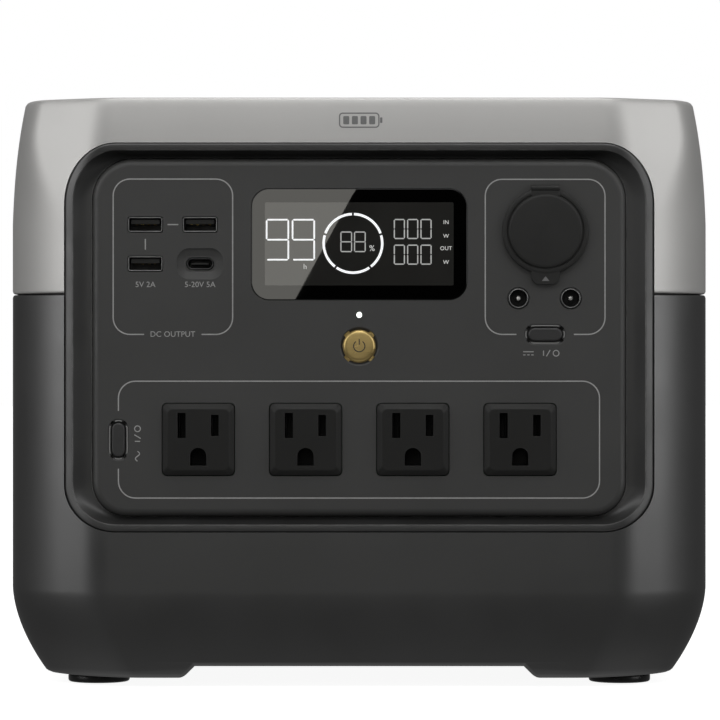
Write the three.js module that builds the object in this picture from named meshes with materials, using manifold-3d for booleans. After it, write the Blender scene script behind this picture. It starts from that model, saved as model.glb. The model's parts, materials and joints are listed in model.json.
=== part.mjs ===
// A portable battery power station: a two-part case with a fixed rear handle, a framed front panel
// with outlets, and the battery, inverter and fans that it holds.
// Millimetres, +Z up, the front towards -Y, the middle of the base at the origin.
import * as THREE from "three";
import { mergeVertices } from "three/addons/utils/BufferGeometryUtils.js";
import Module from "manifold-3d";

const wasm = await Module();
wasm.setup();

// ---- Driving dimensions -------------------------------------------------------------------------

const WIDTH = 270;
const DEPTH = 260;
const HEIGHT = 226;
const HALF = WIDTH / 2;
const FRONT = -DEPTH / 2;
const REAR = DEPTH / 2;
const CORE_REAR = 76; // rear wall of the body; the handle goes on to REAR
const CORE_MIDDLE = (FRONT + CORE_REAR) / 2;
const WALL = 2.8;
const GAP = 0.3; // between neighbouring pieces
const SEAM_Z = 151; // where the two shells meet
const SEAM_GAP = 0.4;
const CASE_BOTTOM = 3.5; // the feet lift the case this far
const CHANNEL_Z = 8.2; // ceiling of the wide channel under the case
const CHANNEL_HALF = 63.1;
const FLOOR_Z = 11; // inner floor above the channel
const SIDE_FLOOR_Z = 6.5;

const FACET_START = 97.5; // the front is flat to here, then turns back
const FACET_ANGLE = THREE.MathUtils.degToRad(28);
const FACET_BLEND = 4; // eased over this much on each side
const EDGE_START = 120; // from here the facet rounds off towards the side
const EDGE_END = -98.5; // and behind this the side is straight
const EDGE_FULLNESS = 0.58; // how far the curve reaches towards the corner between them
const CORE_REAR_RADIUS = 12;
const HANDLE_RADIUS = 26;

const GRIP_HALF = 78; // finger gap of the handle
const GRIP_REAR = 108;
const GRIP_RADIUS = 10;
const ARM_LOW_Z = 176; // underside of the handle at the body and at its end
const ARM_HIGH_Z = 199;
const COVER_THICK = 2.4;

const BEZEL = { half: 113, bottom: 59.9, top: 208.5, topCorner: [20, 23], bottomCorner: [20, 18] };
const PANEL = { half: 102, bottom: 65.9, top: 202.6, topCorner: [15.5, 15.5], bottomCorner: [13, 13] };
const PANEL_Y = FRONT + 3;
const PANEL_THICK = 2.8;

const DISPLAY = { x: 0, z: 169.85, width: 82.6, height: 42.7, radius: 7 };
const USB_A_PLACES = [[-81.8, 177.4], [-60.9, 177.4], [-81.8, 162.4]];
const USB_C_PLACE = [-60.9, 162.4];
const CAR_SOCKET = { x: 71.2, z: 174.9, bore: 10.6, body: 12.1, depth: 36 };
const CAR_COVER = { radius: 16.5, disc: 14, tab: 10.8, hingeZ: 191.3, tabEnd: 154.6 };
const JACK_PLACES = [[60.9, 149.2], [80.9, 149.2]];
const POWER_BUTTON = { x: 0, z: 130.9, radius: 6 };
const DC_BUTTON = { x: 71.1, z: 135.4, width: 13, height: 5 };
const AC_BUTTON = { x: -92.1, z: 95.1, width: 5, height: 13 };
const STATUS_LIGHT = { x: 0, z: 142.9, radius: 1.05 };
const OUTLET = { pitch: 41, z: 95.2, size: 28, raised: 2, depth: 28, blades: 12.7 };

const IO_BOARD_Y = -114;
const AC_BOARD_Y = -98.6;
const BOARD_THICK = 1.6;

const CELL = { width: 70, depth: 131, height: 27, layers: 4, front: -66 };
const CELL_PITCH = 70.6;
const TRAY_Z = 11.3;
const TRAY_THICK = 2;
const CELL_Z = TRAY_Z + TRAY_THICK + GAP;
const CELL_TOP = CELL_Z + CELL.layers * CELL.height;
const CLAMP_Z = CELL_TOP + 0.4;
const CLAMP_THICK = 1.6;
const INVERTER_Z = 132;

const FAN = { size: 60, thick: 14, bore: 28, hub: 12, z: 104, blades: 7 };
const VENT = { half: 38, bottom: 70, top: 137, slats: 9 };

const INPUT = { half: 50, bottom: 158, top: 191 };
const AC_INLET = { x: -20, z: 176, width: 27, height: 20 };
const SOLAR_INLET = { x: 24, z: 176, width: 20, height: 12 };
const DOOR_HINGE = { y: 78.3, z: 160.2, barrel: 1.9, pin: 0.9, bore: 0.98, half: 30 };

const FOOT_PLACES = [[-101.8, -92], [101.8, -92], [-101.8, 42], [101.8, 42]];
const FOOT_RADIUS = 12;

// ---- Solids from three.js geometry --------------------------------------------------------------

// A closed geometry as a solid, its faces turned outwards.
function solidOf(geometry) {
  const bare = geometry.index ? geometry.toNonIndexed() : geometry.clone();
  bare.deleteAttribute("normal");
  bare.deleteAttribute("uv");
  const merged = mergeVertices(bare, 1e-4);
  const corners = merged.index.array;
  const kept = [];
  for (let i = 0; i < corners.length; i += 3) {
    const [a, b, c] = corners.slice(i, i + 3);
    if (a !== b && b !== c && c !== a) kept.push([a, b, c]);
  }
  const build = (faces) =>
    new wasm.Manifold(
      new wasm.Mesh({
        numProp: 3,
        vertProperties: merged.attributes.position.array,
        triVerts: new Uint32Array(faces.flat()),
      }),
    );
  const made = build(kept);
  return made.volume() < 0 ? build(kept.map(([a, b, c]) => [a, c, b])) : made;
}

function geometryOf(solid) {
  const mesh = solid.getMesh();
  const stride = mesh.numProp;
  const positions = new Float32Array(mesh.numVert * 3);
  for (let i = 0; i < mesh.numVert; i++) {
    positions.set(mesh.vertProperties.subarray(i * stride, i * stride + 3), i * 3);
  }
  const geometry = new THREE.BufferGeometry();
  geometry.setAttribute("position", new THREE.BufferAttribute(positions, 3));
  geometry.setIndex(new THREE.BufferAttribute(mesh.triVerts, 1));
  geometry.computeVertexNormals();
  return geometry;
}

const join = (...solids) => solids.reduce((whole, next) => whole.add(next));
const cut = (solid, ...tools) => tools.reduce((whole, tool) => whole.subtract(tool), solid);

function block([x0, x1], [y0, y1], [z0, z1]) {
  const geometry = new THREE.BoxGeometry(x1 - x0, y1 - y0, z1 - z0);
  geometry.translate((x0 + x1) / 2, (y0 + y1) / 2, (z0 + z1) / 2);
  return solidOf(geometry);
}

function rodY(radius, [y0, y1], x = 0, z = 0, sides = 20) {
  const geometry = new THREE.CylinderGeometry(radius, radius, y1 - y0, sides);
  geometry.translate(x, (y0 + y1) / 2, z);
  return solidOf(geometry);
}

function rodX(radius, [x0, x1], y = 0, z = 0, sides = 16) {
  const geometry = new THREE.CylinderGeometry(radius, radius, x1 - x0, sides);
  geometry.rotateZ(Math.PI / 2);
  geometry.translate((x0 + x1) / 2, y, z);
  return solidOf(geometry);
}

function rodZ(radius, [z0, z1], x = 0, y = 0, sides = 12) {
  const geometry = new THREE.CylinderGeometry(radius, radius, z1 - z0, sides);
  geometry.rotateX(Math.PI / 2);
  geometry.translate(x, y, (z0 + z1) / 2);
  return solidOf(geometry);
}

function roundedRect(width, height, radius, x = 0, y = 0) {
  const shape = new THREE.Shape();
  const right = width / 2 - radius;
  const top = height / 2 - radius;
  const quarter = Math.PI / 2;
  shape.absarc(x + right, y + top, radius, 0, quarter);
  shape.absarc(x - right, y + top, radius, quarter, 2 * quarter);
  shape.absarc(x - right, y - top, radius, 2 * quarter, 3 * quarter);
  shape.absarc(x + right, y - top, radius, 3 * quarter, 4 * quarter);
  return shape;
}

const polygon = (points) => new THREE.Shape(points.map(([a, b]) => new THREE.Vector2(a, b)));

// A shape drawn in X and Z, given thickness along Y.
function slab(shape, [y0, y1], steps = 4) {
  const options = { depth: y1 - y0, bevelEnabled: false, curveSegments: steps };
  const geometry = new THREE.ExtrudeGeometry(shape, options);
  geometry.rotateX(Math.PI / 2);
  geometry.translate(0, y1, 0);
  return solidOf(geometry);
}

// A shape drawn in X and Y, given height along Z.
function column(shape, [z0, z1], steps = 4) {
  const options = { depth: z1 - z0, bevelEnabled: false, curveSegments: steps };
  const geometry = new THREE.ExtrudeGeometry(shape, options);
  geometry.translate(0, 0, z0);
  return solidOf(geometry);
}

// A shape drawn in Y and Z, given length along X.
function beam(shape, [x0, x1], steps = 4) {
  const options = { depth: x1 - x0, bevelEnabled: false, curveSegments: steps };
  const geometry = new THREE.ExtrudeGeometry(shape, options);
  geometry.rotateX(Math.PI / 2);
  geometry.rotateZ(Math.PI / 2);
  geometry.translate(x0, 0, 0);
  return solidOf(geometry);
}

// A profile of [radius, y] points turned about the Y axis.
function turned(profile, sides = 24) {
  const points = profile.map(([r, y]) => new THREE.Vector2(r, y));
  return solidOf(new THREE.LatheGeometry(points, sides));
}

// Rings of equal length joined one to the next, with a flat cap on each end or closed round.
function skin(rings, closed = false) {
  const count = rings[0].length;
  const positions = rings.flat().flatMap((p) => [p.x, p.y, p.z]);
  const index = [];
  const last = closed ? rings.length : rings.length - 1;
  for (let k = 0; k < last; k++) {
    const here = k * count;
    const next = ((k + 1) % rings.length) * count;
    for (let i = 0; i < count; i++) {
      const j = (i + 1) % count;
      index.push(here + i, here + j, next + j, here + i, next + j, next + i);
    }
  }
  if (!closed) {
    const end = (rings.length - 1) * count;
    for (let i = 1; i < count - 1; i++) {
      index.push(0, i + 1, i, end, end + i, end + i + 1);
    }
  }
  const geometry = new THREE.BufferGeometry();
  geometry.setAttribute("position", new THREE.Float32BufferAttribute(positions, 3));
  geometry.setIndex(index);
  return solidOf(geometry);
}

// A frame-like loop in X and Z with its own corners above and below; y follows x.
function frameLoop(frame, inset, yOf, steps = 6) {
  const half = frame.half - inset;
  const shrink = ([rx, rz]) => [Math.max(rx - inset, 0.5), Math.max(rz - inset, 0.5)];
  const [topX, topZ] = shrink(frame.topCorner);
  const [lowX, lowZ] = shrink(frame.bottomCorner);
  const top = frame.top - inset;
  const bottom = frame.bottom + inset;
  const corners = [
    [half - topX, top - topZ, topX, topZ, 0],
    [-half + topX, top - topZ, topX, topZ, 90],
    [-half + lowX, bottom + lowZ, lowX, lowZ, 180],
    [half - lowX, bottom + lowZ, lowX, lowZ, 270],
  ];
  const loop = [];
  for (const [cx, cz, rx, rz, start] of corners) {
    for (let i = 0; i <= steps; i++) {
      const angle = THREE.MathUtils.degToRad(start + (90 * i) / steps);
      const x = cx + rx * Math.cos(angle);
      loop.push(new THREE.Vector3(x, yOf(x), cz + rz * Math.sin(angle)));
    }
  }
  return loop;
}

function squareFrame(width, height, radius, x = 0, z = 0) {
  return (y, inset = 0) => {
    const corner = [radius, radius];
    const frame = { half: width / 2, bottom: -height / 2, top: height / 2 };
    const loop = frameLoop({ ...frame, topCorner: corner, bottomCorner: corner }, inset, () => y, 4);
    return loop.map((p) => p.add(new THREE.Vector3(x, 0, z)));
  };
}

// ---- The case -----------------------------------------------------------------------------------

// How far back the front surface is at x: flat in the middle, then a facet.
function frontY(x) {
  const beyond = Math.abs(x) - FACET_START;
  const slope = Math.tan(FACET_ANGLE);
  if (beyond <= -FACET_BLEND) return FRONT;
  if (beyond >= FACET_BLEND) return FRONT + beyond * slope;
  return FRONT + ((beyond + FACET_BLEND) ** 2 / (4 * FACET_BLEND)) * slope;
}

// The outline of the case seen from above, from the front right round to the front left.
function planOutline(rear, rearRadius) {
  const blend = [-1, -0.3, 0.3, 1].map((share) => FACET_START + share * FACET_BLEND);
  const right = blend.map((x) => new THREE.Vector2(x, frontY(x)));
  const start = new THREE.Vector2(EDGE_START, frontY(EDGE_START));
  const corner = new THREE.Vector2(HALF, frontY(HALF));
  const end = new THREE.Vector2(HALF, EDGE_END);
  const towards = (point) => point.clone().lerp(corner, EDGE_FULLNESS);
  right.push(...new THREE.CubicBezierCurve(start, towards(start), towards(end), end).getPoints(5));
  for (let i = 0; i <= 4; i++) {
    const angle = ((Math.PI / 2) * i) / 4;
    const x = HALF - rearRadius + rearRadius * Math.cos(angle);
    right.push(new THREE.Vector2(x, rear - rearRadius + rearRadius * Math.sin(angle)));
  }
  const left = right.map((p) => new THREE.Vector2(-p.x, p.y)).reverse();
  return [...right, ...left];
}

function insetOutline(outline, distance) {
  const inward = (a, b) => new THREE.Vector2(a.y - b.y, b.x - a.x).normalize();
  return outline.map((point, i) => {
    const before = inward(outline.at(i - 1), point);
    const after = inward(point, outline[(i + 1) % outline.length]);
    const between = before.clone().add(after).normalize();
    return point.clone().addScaledVector(between, distance / between.dot(before));
  });
}

// The outline at one height, narrowed to half the width given and drawn in at front and rear.
function stationRing(outline, { z, half, ends }) {
  const across = half / HALF;
  const along = 1 - ends / (CORE_MIDDLE - FRONT);
  return outline.map(
    (p) => new THREE.Vector3(p.x * across, CORE_MIDDLE + (p.y - CORE_MIDDLE) * along, z),
  );
}

const caseLoft = (outline, stations) => skin(stations.map((s) => stationRing(outline, s)));

function lowerStations() {
  const turnUnder = new THREE.CubicBezierCurve(
    new THREE.Vector2(122.4, 5.2),
    new THREE.Vector2(127.5, 12.5),
    new THREE.Vector2(134.4, 25),
    new THREE.Vector2(HALF, 37.2),
  );
  const top = SEAM_Z - SEAM_GAP / 2;
  const rounded = turnUnder.getPoints(4).map((p) => ({ z: p.y, half: p.x, ends: (HALF - p.x) / 2 }));
  return [
    { z: CASE_BOTTOM, half: 117.8, ends: 9.2 },
    { z: CASE_BOTTOM + 0.5, half: 120.6, ends: 7.5 },
    ...rounded,
    { z: top - 0.7, half: HALF, ends: 0 },
    { z: top, half: HALF - 0.6, ends: 0.5 },
  ];
}

function upperStations() {
  const taper = new THREE.QuadraticBezierCurve(
    new THREE.Vector2(HALF, 178),
    new THREE.Vector2(134.3, 202),
    new THREE.Vector2(130.2, 223),
  );
  const bottom = SEAM_Z + SEAM_GAP / 2;
  return [
    { z: bottom, half: HALF - 0.6, ends: 0.5 },
    { z: bottom + 0.7, half: HALF, ends: 0 },
    ...taper.getPoints(3).map((p) => ({ z: p.y, half: p.x, ends: 0 })),
    { z: 225.2, half: 129.2, ends: 0.5 },
    { z: HEIGHT, half: 127.6, ends: 1.6 },
  ];
}

// The stretch of stations inside a wall: first and last moved to the heights given.
function innerStations(stations, low, high) {
  const within = stations.filter((s) => s.z > low + 1 && s.z < high - 1);
  const first = stations.filter((s) => s.z <= low + 1).at(-1) ?? stations[0];
  const end = within.at(-1) ?? first;
  return [{ ...first, z: low }, ...within, { ...end, z: high }];
}

const frontOpening = () =>
  slab(
    new THREE.Shape(
      frameLoop(BEZEL, -GAP, () => 0).map((p) => new THREE.Vector2(p.x, p.z)),
    ),
    [FRONT - 10, FRONT + 30],
  );

// The under-side of the handle as a line in Y and Z, raised by some amount.
const armUnderside = (raise) => [
  [CORE_REAR - 20, ARM_LOW_Z - 8 + raise],
  [CORE_REAR, ARM_LOW_Z + raise],
  [GRIP_REAR, ARM_HIGH_Z - 3 + raise],
  [REAR + 10, ARM_HIGH_Z + raise],
];

// Everything behind the rear wall of the body and below the handle.
function underHandle() {
  const corner = CORE_REAR_RADIUS;
  const shape = new THREE.Shape();
  shape.moveTo(HALF + 8, CORE_REAR - corner);
  shape.lineTo(HALF + 8, REAR + 8);
  shape.lineTo(-HALF - 8, REAR + 8);
  shape.lineTo(-HALF - 8, CORE_REAR - corner);
  shape.lineTo(-HALF, CORE_REAR - corner);
  shape.absarc(-HALF + corner, CORE_REAR - corner, corner, Math.PI, Math.PI / 2, true);
  shape.absarc(HALF - corner, CORE_REAR - corner, corner, Math.PI / 2, 0, true);
  const below = beam(
    polygon([...armUnderside(0), [REAR + 10, 130], [CORE_REAR - 20, 130]]),
    [-HALF - 10, HALF + 10],
  );
  return column(shape, [130, HEIGHT]).intersect(below);
}

const gripShape = (margin) => {
  const depth = GRIP_REAR - CORE_REAR + 2 * margin;
  const width = 2 * (GRIP_HALF + margin);
  return roundedRect(width, depth, GRIP_RADIUS + margin, 0, (GRIP_REAR + CORE_REAR) / 2);
};

// The hollow arms and bar of the handle, or with more inset the cover that closes them.
function handleHollow(inset) {
  const outline = insetOutline(planOutline(REAR, HANDLE_RADIUS), WALL + inset);
  const room = caseLoft(outline, innerStations(upperStations(), 160, HEIGHT - WALL));
  const behind = block([-HALF, HALF], [CORE_REAR + WALL + inset, REAR], [150, HEIGHT]);
  return cut(room.intersect(behind), column(gripShape(WALL + inset), [150, HEIGHT + 1]));
}

function upperShell() {
  const whole = caseLoft(planOutline(REAR, HANDLE_RADIUS), upperStations());
  const inner = insetOutline(planOutline(CORE_REAR, CORE_REAR_RADIUS), WALL);
  const room = caseLoft(inner, innerStations(upperStations().slice(1), SEAM_Z - 2, HEIGHT - WALL));
  const inputHole = block(
    [-INPUT.half - GAP, INPUT.half + GAP],
    [CORE_REAR - 10, CORE_REAR + 1],
    [INPUT.bottom - GAP, INPUT.top + GAP],
  );
  const grip = column(gripShape(0), [SEAM_Z, HEIGHT + 5]);
  return cut(whole, underHandle(), room, grip, handleHollow(0), frontOpening(), inputHole);
}

function handleCover() {
  const between = beam(
    polygon([...armUnderside(0.6), ...armUnderside(0.6 + COVER_THICK).reverse()]),
    [-HALF, HALF],
  );
  return handleHollow(GAP).intersect(between);
}

function lowerShell() {
  const outline = planOutline(CORE_REAR, CORE_REAR_RADIUS);
  const stations = lowerStations();
  const lipTop = SEAM_Z + 4;
  const straight = (low, high) => [
    { z: low, half: HALF, ends: 0 },
    { z: high, half: HALF, ends: 0 },
  ];
  const body = join(
    caseLoft(outline, stations),
    caseLoft(insetOutline(outline, WALL + GAP), straight(SEAM_Z - 3, lipTop)),
  );
  const sideRoom = caseLoft(
    insetOutline(outline, WALL),
    innerStations(stations, SIDE_FLOOR_Z, SEAM_Z - 6),
  );
  const raisedFloor = block([-70, 70], [FRONT, CORE_REAR], [0, FLOOR_Z]);
  const lipRoom = caseLoft(insetOutline(outline, WALL + 1.7), straight(SEAM_Z - 6.1, lipTop + 1));
  const channel = slab(
    polygon([
      [-CHANNEL_HALF - 5.7, 2.5],
      [CHANNEL_HALF + 5.7, 2.5],
      [CHANNEL_HALF, CHANNEL_Z],
      [-CHANNEL_HALF, CHANNEL_Z],
    ]),
    [FRONT - 5, REAR],
  );
  const ventHole = block(
    [-HALF - 5, HALF + 5],
    [-VENT.half - GAP, VENT.half + GAP],
    [VENT.bottom - GAP, VENT.top + GAP],
  );
  let shell = cut(body, cut(sideRoom, raisedFloor), lipRoom, channel, ventHole, frontOpening());
  for (const [x, y] of FOOT_PLACES) {
    shell = join(shell, rodZ(9, [SIDE_FLOOR_Z - 1, FLOOR_Z], x, y));
    shell = cut(
      shell,
      rodZ(8.3, [0, 5.3], x, y),
      rodZ(4.2, [4, 8.4], x, y),
      rodZ(2.1, [8, FLOOR_Z + 1], x, y),
    );
  }
  return shell;
}

// ---- Front bezel and panel ----------------------------------------------------------------------

function frontBezel() {
  const wall = { ...PANEL, topCorner: [15.8, 15.8], bottomCorner: [13.3, 13.3] };
  const lip = { half: 109.6, bottom: 62.8, top: 205.6, topCorner: [17, 20], bottomCorner: [17, 15] };
  const valleyY = PANEL_Y + 3.4;
  const rings = [
    frameLoop(BEZEL, 0, (x) => frontY(x) + 0.6),
    frameLoop(BEZEL, 0.5, (x) => frontY(x) + 0.1),
    frameLoop(lip, 0, (x) => frontY(x) + 0.2),
    frameLoop(lip, 0.5, (x) => frontY(x) + 0.8),
    frameLoop(wall, -GAP, () => valleyY),
    frameLoop(wall, -GAP, () => valleyY + 4.4),
    frameLoop(BEZEL, 0, (x) => frontY(x) + 6),
  ];
  return skin(rings, true);
}

// A recess that narrows from one rounded rectangle at the surface to a smaller one behind it.
function dish(width, height, radius, narrow, depth, x, z) {
  const wide = squareFrame(width, height, radius, x, z);
  const small = squareFrame(width - narrow, height - narrow, radius - narrow / 2, x, z);
  return skin([wide(-1, -0.2), wide(0), small(depth)]);
}

function frontPanel() {
  const depths = [[0, 6.5], [0, 3], [0.4, 1.4], [1.3, 0.4], [3, 0]];
  const rings = depths.map(([inset, y]) => frameLoop(PANEL, inset, () => y));
  const pocket = skin([
    frameLoop(PANEL, 2.5, () => 8),
    frameLoop(PANEL, 2.5, () => PANEL_THICK + 1),
    frameLoop(PANEL, 4, () => PANEL_THICK),
  ]);
  let panel = cut(skin(rings), pocket);
  const through = [-3, 9];
  const lens = DISPLAY;
  const tools = [
    slab(roundedRect(lens.width + 0.5, lens.height + 0.5, lens.radius, lens.x, lens.z), through, 5),
    dish(17.9, 12, 5, 7, 1.3, ...USB_C_PLACE),
    slab(roundedRect(10.8, 5, 2.5, ...USB_C_PLACE), through),
    rodY(CAR_SOCKET.body + GAP, through, CAR_SOCKET.x, CAR_SOCKET.z, 24),
    rodY(STATUS_LIGHT.radius + 0.2, through, STATUS_LIGHT.x, STATUS_LIGHT.z, 10),
    rodY(POWER_BUTTON.radius + 0.4, through, POWER_BUTTON.x, POWER_BUTTON.z, 24),
    dish(14.2, 14.2, 7, 1.6, 0.9, POWER_BUTTON.x, POWER_BUTTON.z),
  ];
  for (const [x, z] of USB_A_PLACES) tools.push(slab(roundedRect(13.7, 6.3, 0.9, x, z), through, 2));
  for (const [x, z] of JACK_PLACES) tools.push(rodY(4.3, through, x, z, 16));
  for (const { x, z, width, height } of [DC_BUTTON, AC_BUTTON]) {
    const radius = Math.min(width, height) / 2;
    tools.push(slab(roundedRect(width + 0.8, height + 0.8, radius + 0.4, x, z), through));
    tools.push(dish(width + 2.5, height + 2.3, radius + 1.1, 1.6, 0.9, x, z));
  }
  for (const x of outletCentres()) {
    const hole = roundedRect(OUTLET.size + 0.6, OUTLET.size + 0.6, 2, x, OUTLET.z);
    tools.push(slab(hole, through, 3));
  }
  panel = cut(panel, ...tools);
  const postEnd = IO_BOARD_Y - PANEL_Y - GAP;
  for (const [x, z] of [[-92, 128], [92, 128], [-88, 194], [88, 194]]) {
    panel = join(panel, rodY(3, [PANEL_THICK - 0.5, postEnd], x, z, 8));
  }
  return panel;
}

const outletCentres = () => [-1.5, -0.5, 0.5, 1.5].map((i) => i * OUTLET.pitch);

// ---- Front modules: local y = 0 is the surface of the panel -------------------------------------

function usbAPort() {
  const back = IO_BOARD_Y - PANEL_Y - GAP;
  const shell = slab(roundedRect(13.1, 5.7, 0.6), [-0.1, back], 2);
  const room = slab(roundedRect(12.3, 4.9, 0.4), [-1, back - 2], 2);
  const tongue = block([-5.6, 5.6], [0.9, back - 1], [0.1, 1.9]);
  return join(cut(shell, room), tongue);
}

function usbCPort() {
  const back = IO_BOARD_Y - PANEL_Y - GAP;
  const shell = slab(roundedRect(10.2, 4.4, 2.2), [1.2, back]);
  const room = slab(roundedRect(9.4, 3.6, 1.8), [0, back - 2]);
  const tongue = block([-3.4, 3.4], [2, back - 1], [-0.35, 0.35]);
  return join(cut(shell, room), tongue);
}

function carSocket() {
  const { bore, body, depth } = CAR_SOCKET;
  return turned(
    [
      [0, depth - 6],
      [3, depth - 5.5],
      [3, depth - 2],
      [bore, depth - 2],
      [bore, 0.8],
      [bore + 0.6, 0.2],
      [body, 0.2],
      [body, PANEL_THICK + GAP],
      [15, PANEL_THICK + GAP],
      [15, 5],
      [body, 5],
      [body, depth],
      [0, depth],
    ],
    24,
  );
}

function barrelJack() {
  const back = IO_BOARD_Y - PANEL_Y - GAP;
  return turned(
    [
      [0, 1],
      [1.05, 1.4],
      [1.05, 10],
      [3.25, 10],
      [3.25, 0.1],
      [3.6, -0.3],
      [4, -0.3],
      [4, back],
      [0, back],
    ],
    16,
  );
}

function acOutlet() {
  const { size, raised, depth } = OUTLET;
  const face = squareFrame(size, size, 1.8);
  const body = skin([face(-raised, raised), face(0), face(4), face(4.2, 1), face(depth, 1)]);
  const slotDepth = [-raised - 1, 14];
  const middle = OUTLET.blades / 2;
  const ground = new THREE.Shape();
  ground.moveTo(-3.1, -10);
  ground.lineTo(3.1, -10);
  ground.lineTo(3.1, -6.3);
  ground.absarc(0, -6.3, 3.1, 0, Math.PI);
  return cut(
    body,
    block([-middle - 1.55, -middle + 1.55], slotDepth, [0.55, 10.15]),
    block([middle - 1.45, middle + 1.45], slotDepth, [1.3, 9.4]),
    slab(ground, slotDepth),
  );
}

// A cap with a flange behind the panel and a stem that ends short of its board.
function pushButton(capShape, flangeShape, stemEnd, steps = 4) {
  const flangeY = PANEL_THICK + 0.4;
  return join(
    slab(capShape, [-0.6, flangeY + 0.2], steps),
    slab(flangeShape, [flangeY, flangeY + 1], 2),
    rodY(1.8, [flangeY, stemEnd], 0, 0, 8),
  );
}

function powerButton() {
  const cap = roundedRect(2 * POWER_BUTTON.radius, 2 * POWER_BUTTON.radius, POWER_BUTTON.radius - 0.01);
  return pushButton(cap, roundedRect(15, 15, 3), IO_BOARD_Y - PANEL_Y - 1.6, 6);
}

function barButton({ width, height }, boardY) {
  const radius = Math.min(width, height) / 2 - 0.01;
  const flange = roundedRect(width + 2.4, height + 2.4, radius);
  return pushButton(roundedRect(width, height, radius), flange, boardY - PANEL_Y - 1.6);
}

// The dust cover of the car socket, with its hinge tab above and its pull tab below.
function carSocketCover() {
  const { x, z } = CAR_SOCKET;
  const { radius, disc, tab, hingeZ, tabEnd } = CAR_COVER;
  const up = hingeZ - z;
  const down = tabEnd - z;
  const hingeY = -1.6;
  const plate = turned([
    [0, 3],
    [8.6, 3],
    [9.2, 2.4],
    [9.2, -0.35],
    [radius, -0.35],
    [radius, -1.6],
    [radius - 0.5, -2],
    [disc + 0.6, -2.1],
    [disc, -2.8],
    [0, -2.8],
  ], 32);
  const pull = polygon([[-tab / 2, -12], [-tab / 2, down + 2.5], [-tab / 2 + 1.6, down],
    [tab / 2 - 1.6, down], [tab / 2, down + 2.5], [tab / 2, -12]]);
  const cover = join(
    plate,
    block([-tab / 2, tab / 2], [hingeY - 1.25, -0.35], [12, up]),
    rodX(1.25, [-tab / 2, tab / 2], hingeY, up, 16),
    slab(pull, [-1.9, -0.35]),
  );
  return cover;
}

const displayLens = () =>
  slab(roundedRect(DISPLAY.width, DISPLAY.height, DISPLAY.radius - 0.2), [-0.1, PANEL_THICK - 0.4], 5);

const displayModule = () =>
  slab(roundedRect(77, 37, 1), [PANEL_THICK, IO_BOARD_Y - PANEL_Y - GAP], 2);

const statusLight = () => rodY(STATUS_LIGHT.radius, [-0.1, IO_BOARD_Y - PANEL_Y - GAP], 0, 0, 10);

function ioBoard() {
  const board = block([-95, 95], [0, BOARD_THICK], [122, 199]);
  const chips = [[-30, 140, 9], [12, 150, 7], [-70, 135, 6]].map(([x, z, half]) =>
    block([x - half, x + half], [BOARD_THICK - 0.1, 4.4], [z - half, z + half]),
  );
  return cut(join(board, ...chips), rodY(16.4, [-1, 9], CAR_SOCKET.x, CAR_SOCKET.z, 28));
}

const acBoard = () =>
  join(
    block([-98, 82], [0, BOARD_THICK], [78, 112]),
    block([-50, -30], [BOARD_THICK - 0.1, 14], [84, 104]),
    block([24, 50], [BOARD_THICK - 0.1, 12], [84, 104]),
  );

// ---- Battery ------------------------------------------------------------------------------------

// Cells lying flat in one column, with a groove between each pair and terminals in front.
function cellStack() {
  const half = CELL.width / 2;
  const groove = 0.8;
  const side = [];
  for (let i = 0; i < CELL.layers; i++) {
    const low = CELL_Z + i * CELL.height;
    side.push([half - groove, low], [half, low + groove]);
    side.push([half, low + CELL.height - groove], [half - groove, low + CELL.height]);
  }
  const outline = side.filter(([x, z], i) => i === 0 || z !== side[i - 1][1]);
  const mirrored = outline.map(([x, z]) => [-x, z]).reverse();
  const stack = slab(polygon([...outline, ...mirrored]), [CELL.front, CELL.front + CELL.depth]);
  const terminals = [];
  for (let i = 0; i < CELL.layers; i++) {
    const z = CELL_Z + (i + 0.5) * CELL.height;
    for (const x of [-20, 20]) {
      terminals.push(rodY(4, [CELL.front - 2.2, CELL.front + 0.2], x, z, 6));
    }
  }
  return join(stack, ...terminals);
}

function batteryTray() {
  const rear = CELL.front + CELL.depth;
  const base = block([-111, 111], [-104, rear + 2.2], [TRAY_Z, TRAY_Z + TRAY_THICK]);
  const stop = block([-104, 104], [rear + 0.4, rear + 2.2], [TRAY_Z, TRAY_Z + 26]);
  const holes = FOOT_PLACES.map(([x, y]) => rodZ(2.05, [TRAY_Z - 1, TRAY_Z + 4], x, y));
  return cut(join(base, stop), ...holes);
}

// A sheet over the cells with a leg down each side and posts for the board above.
function batteryClamp() {
  const outer = 107.8;
  const inner = 106.2;
  const legFoot = TRAY_Z + TRAY_THICK + GAP;
  const top = CLAMP_Z + CLAMP_THICK;
  const profile = polygon([
    [-outer, legFoot], [-inner, legFoot], [-inner, CLAMP_Z], [inner, CLAMP_Z],
    [inner, legFoot], [outer, legFoot], [outer, top], [-outer, top],
  ]);
  const sheet = slab(profile, [-50, 50]);
  const posts = [[-88, -44], [88, -44], [-88, 34], [88, 34]].map(([x, y]) =>
    rodZ(3, [top - 0.2, INVERTER_Z - GAP], x, y, 12),
  );
  return join(sheet, ...posts);
}

const bmsBoard = () =>
  join(
    block([-98, 98], [0, BOARD_THICK], [18, 118]),
    block([-60, -30], [-3, 0.1], [60, 90]),
    block([-8, 8], [-2.5, 0.1], [70, 86]),
    block([32, 62], [-3, 0.1], [60, 90]),
  );

function batteryCable() {
  const route = new THREE.CatmullRomCurve3(
    [
      [40, -79.4, 100],
      [40, -79.4, 118],
      [40, -77, 131],
      [40, -68, 140],
      [40, -58, 141],
      [40, -55, 137.6],
      [40, -55, 134.2],
    ].map((p) => new THREE.Vector3(...p)),
  );
  const round = new THREE.Shape();
  round.absarc(0, 0, 2.5, 0, 2 * Math.PI);
  const options = { steps: 14, curveSegments: 4, extrudePath: route, bevelEnabled: false };
  return solidOf(new THREE.ExtrudeGeometry(round, options));
}

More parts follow.
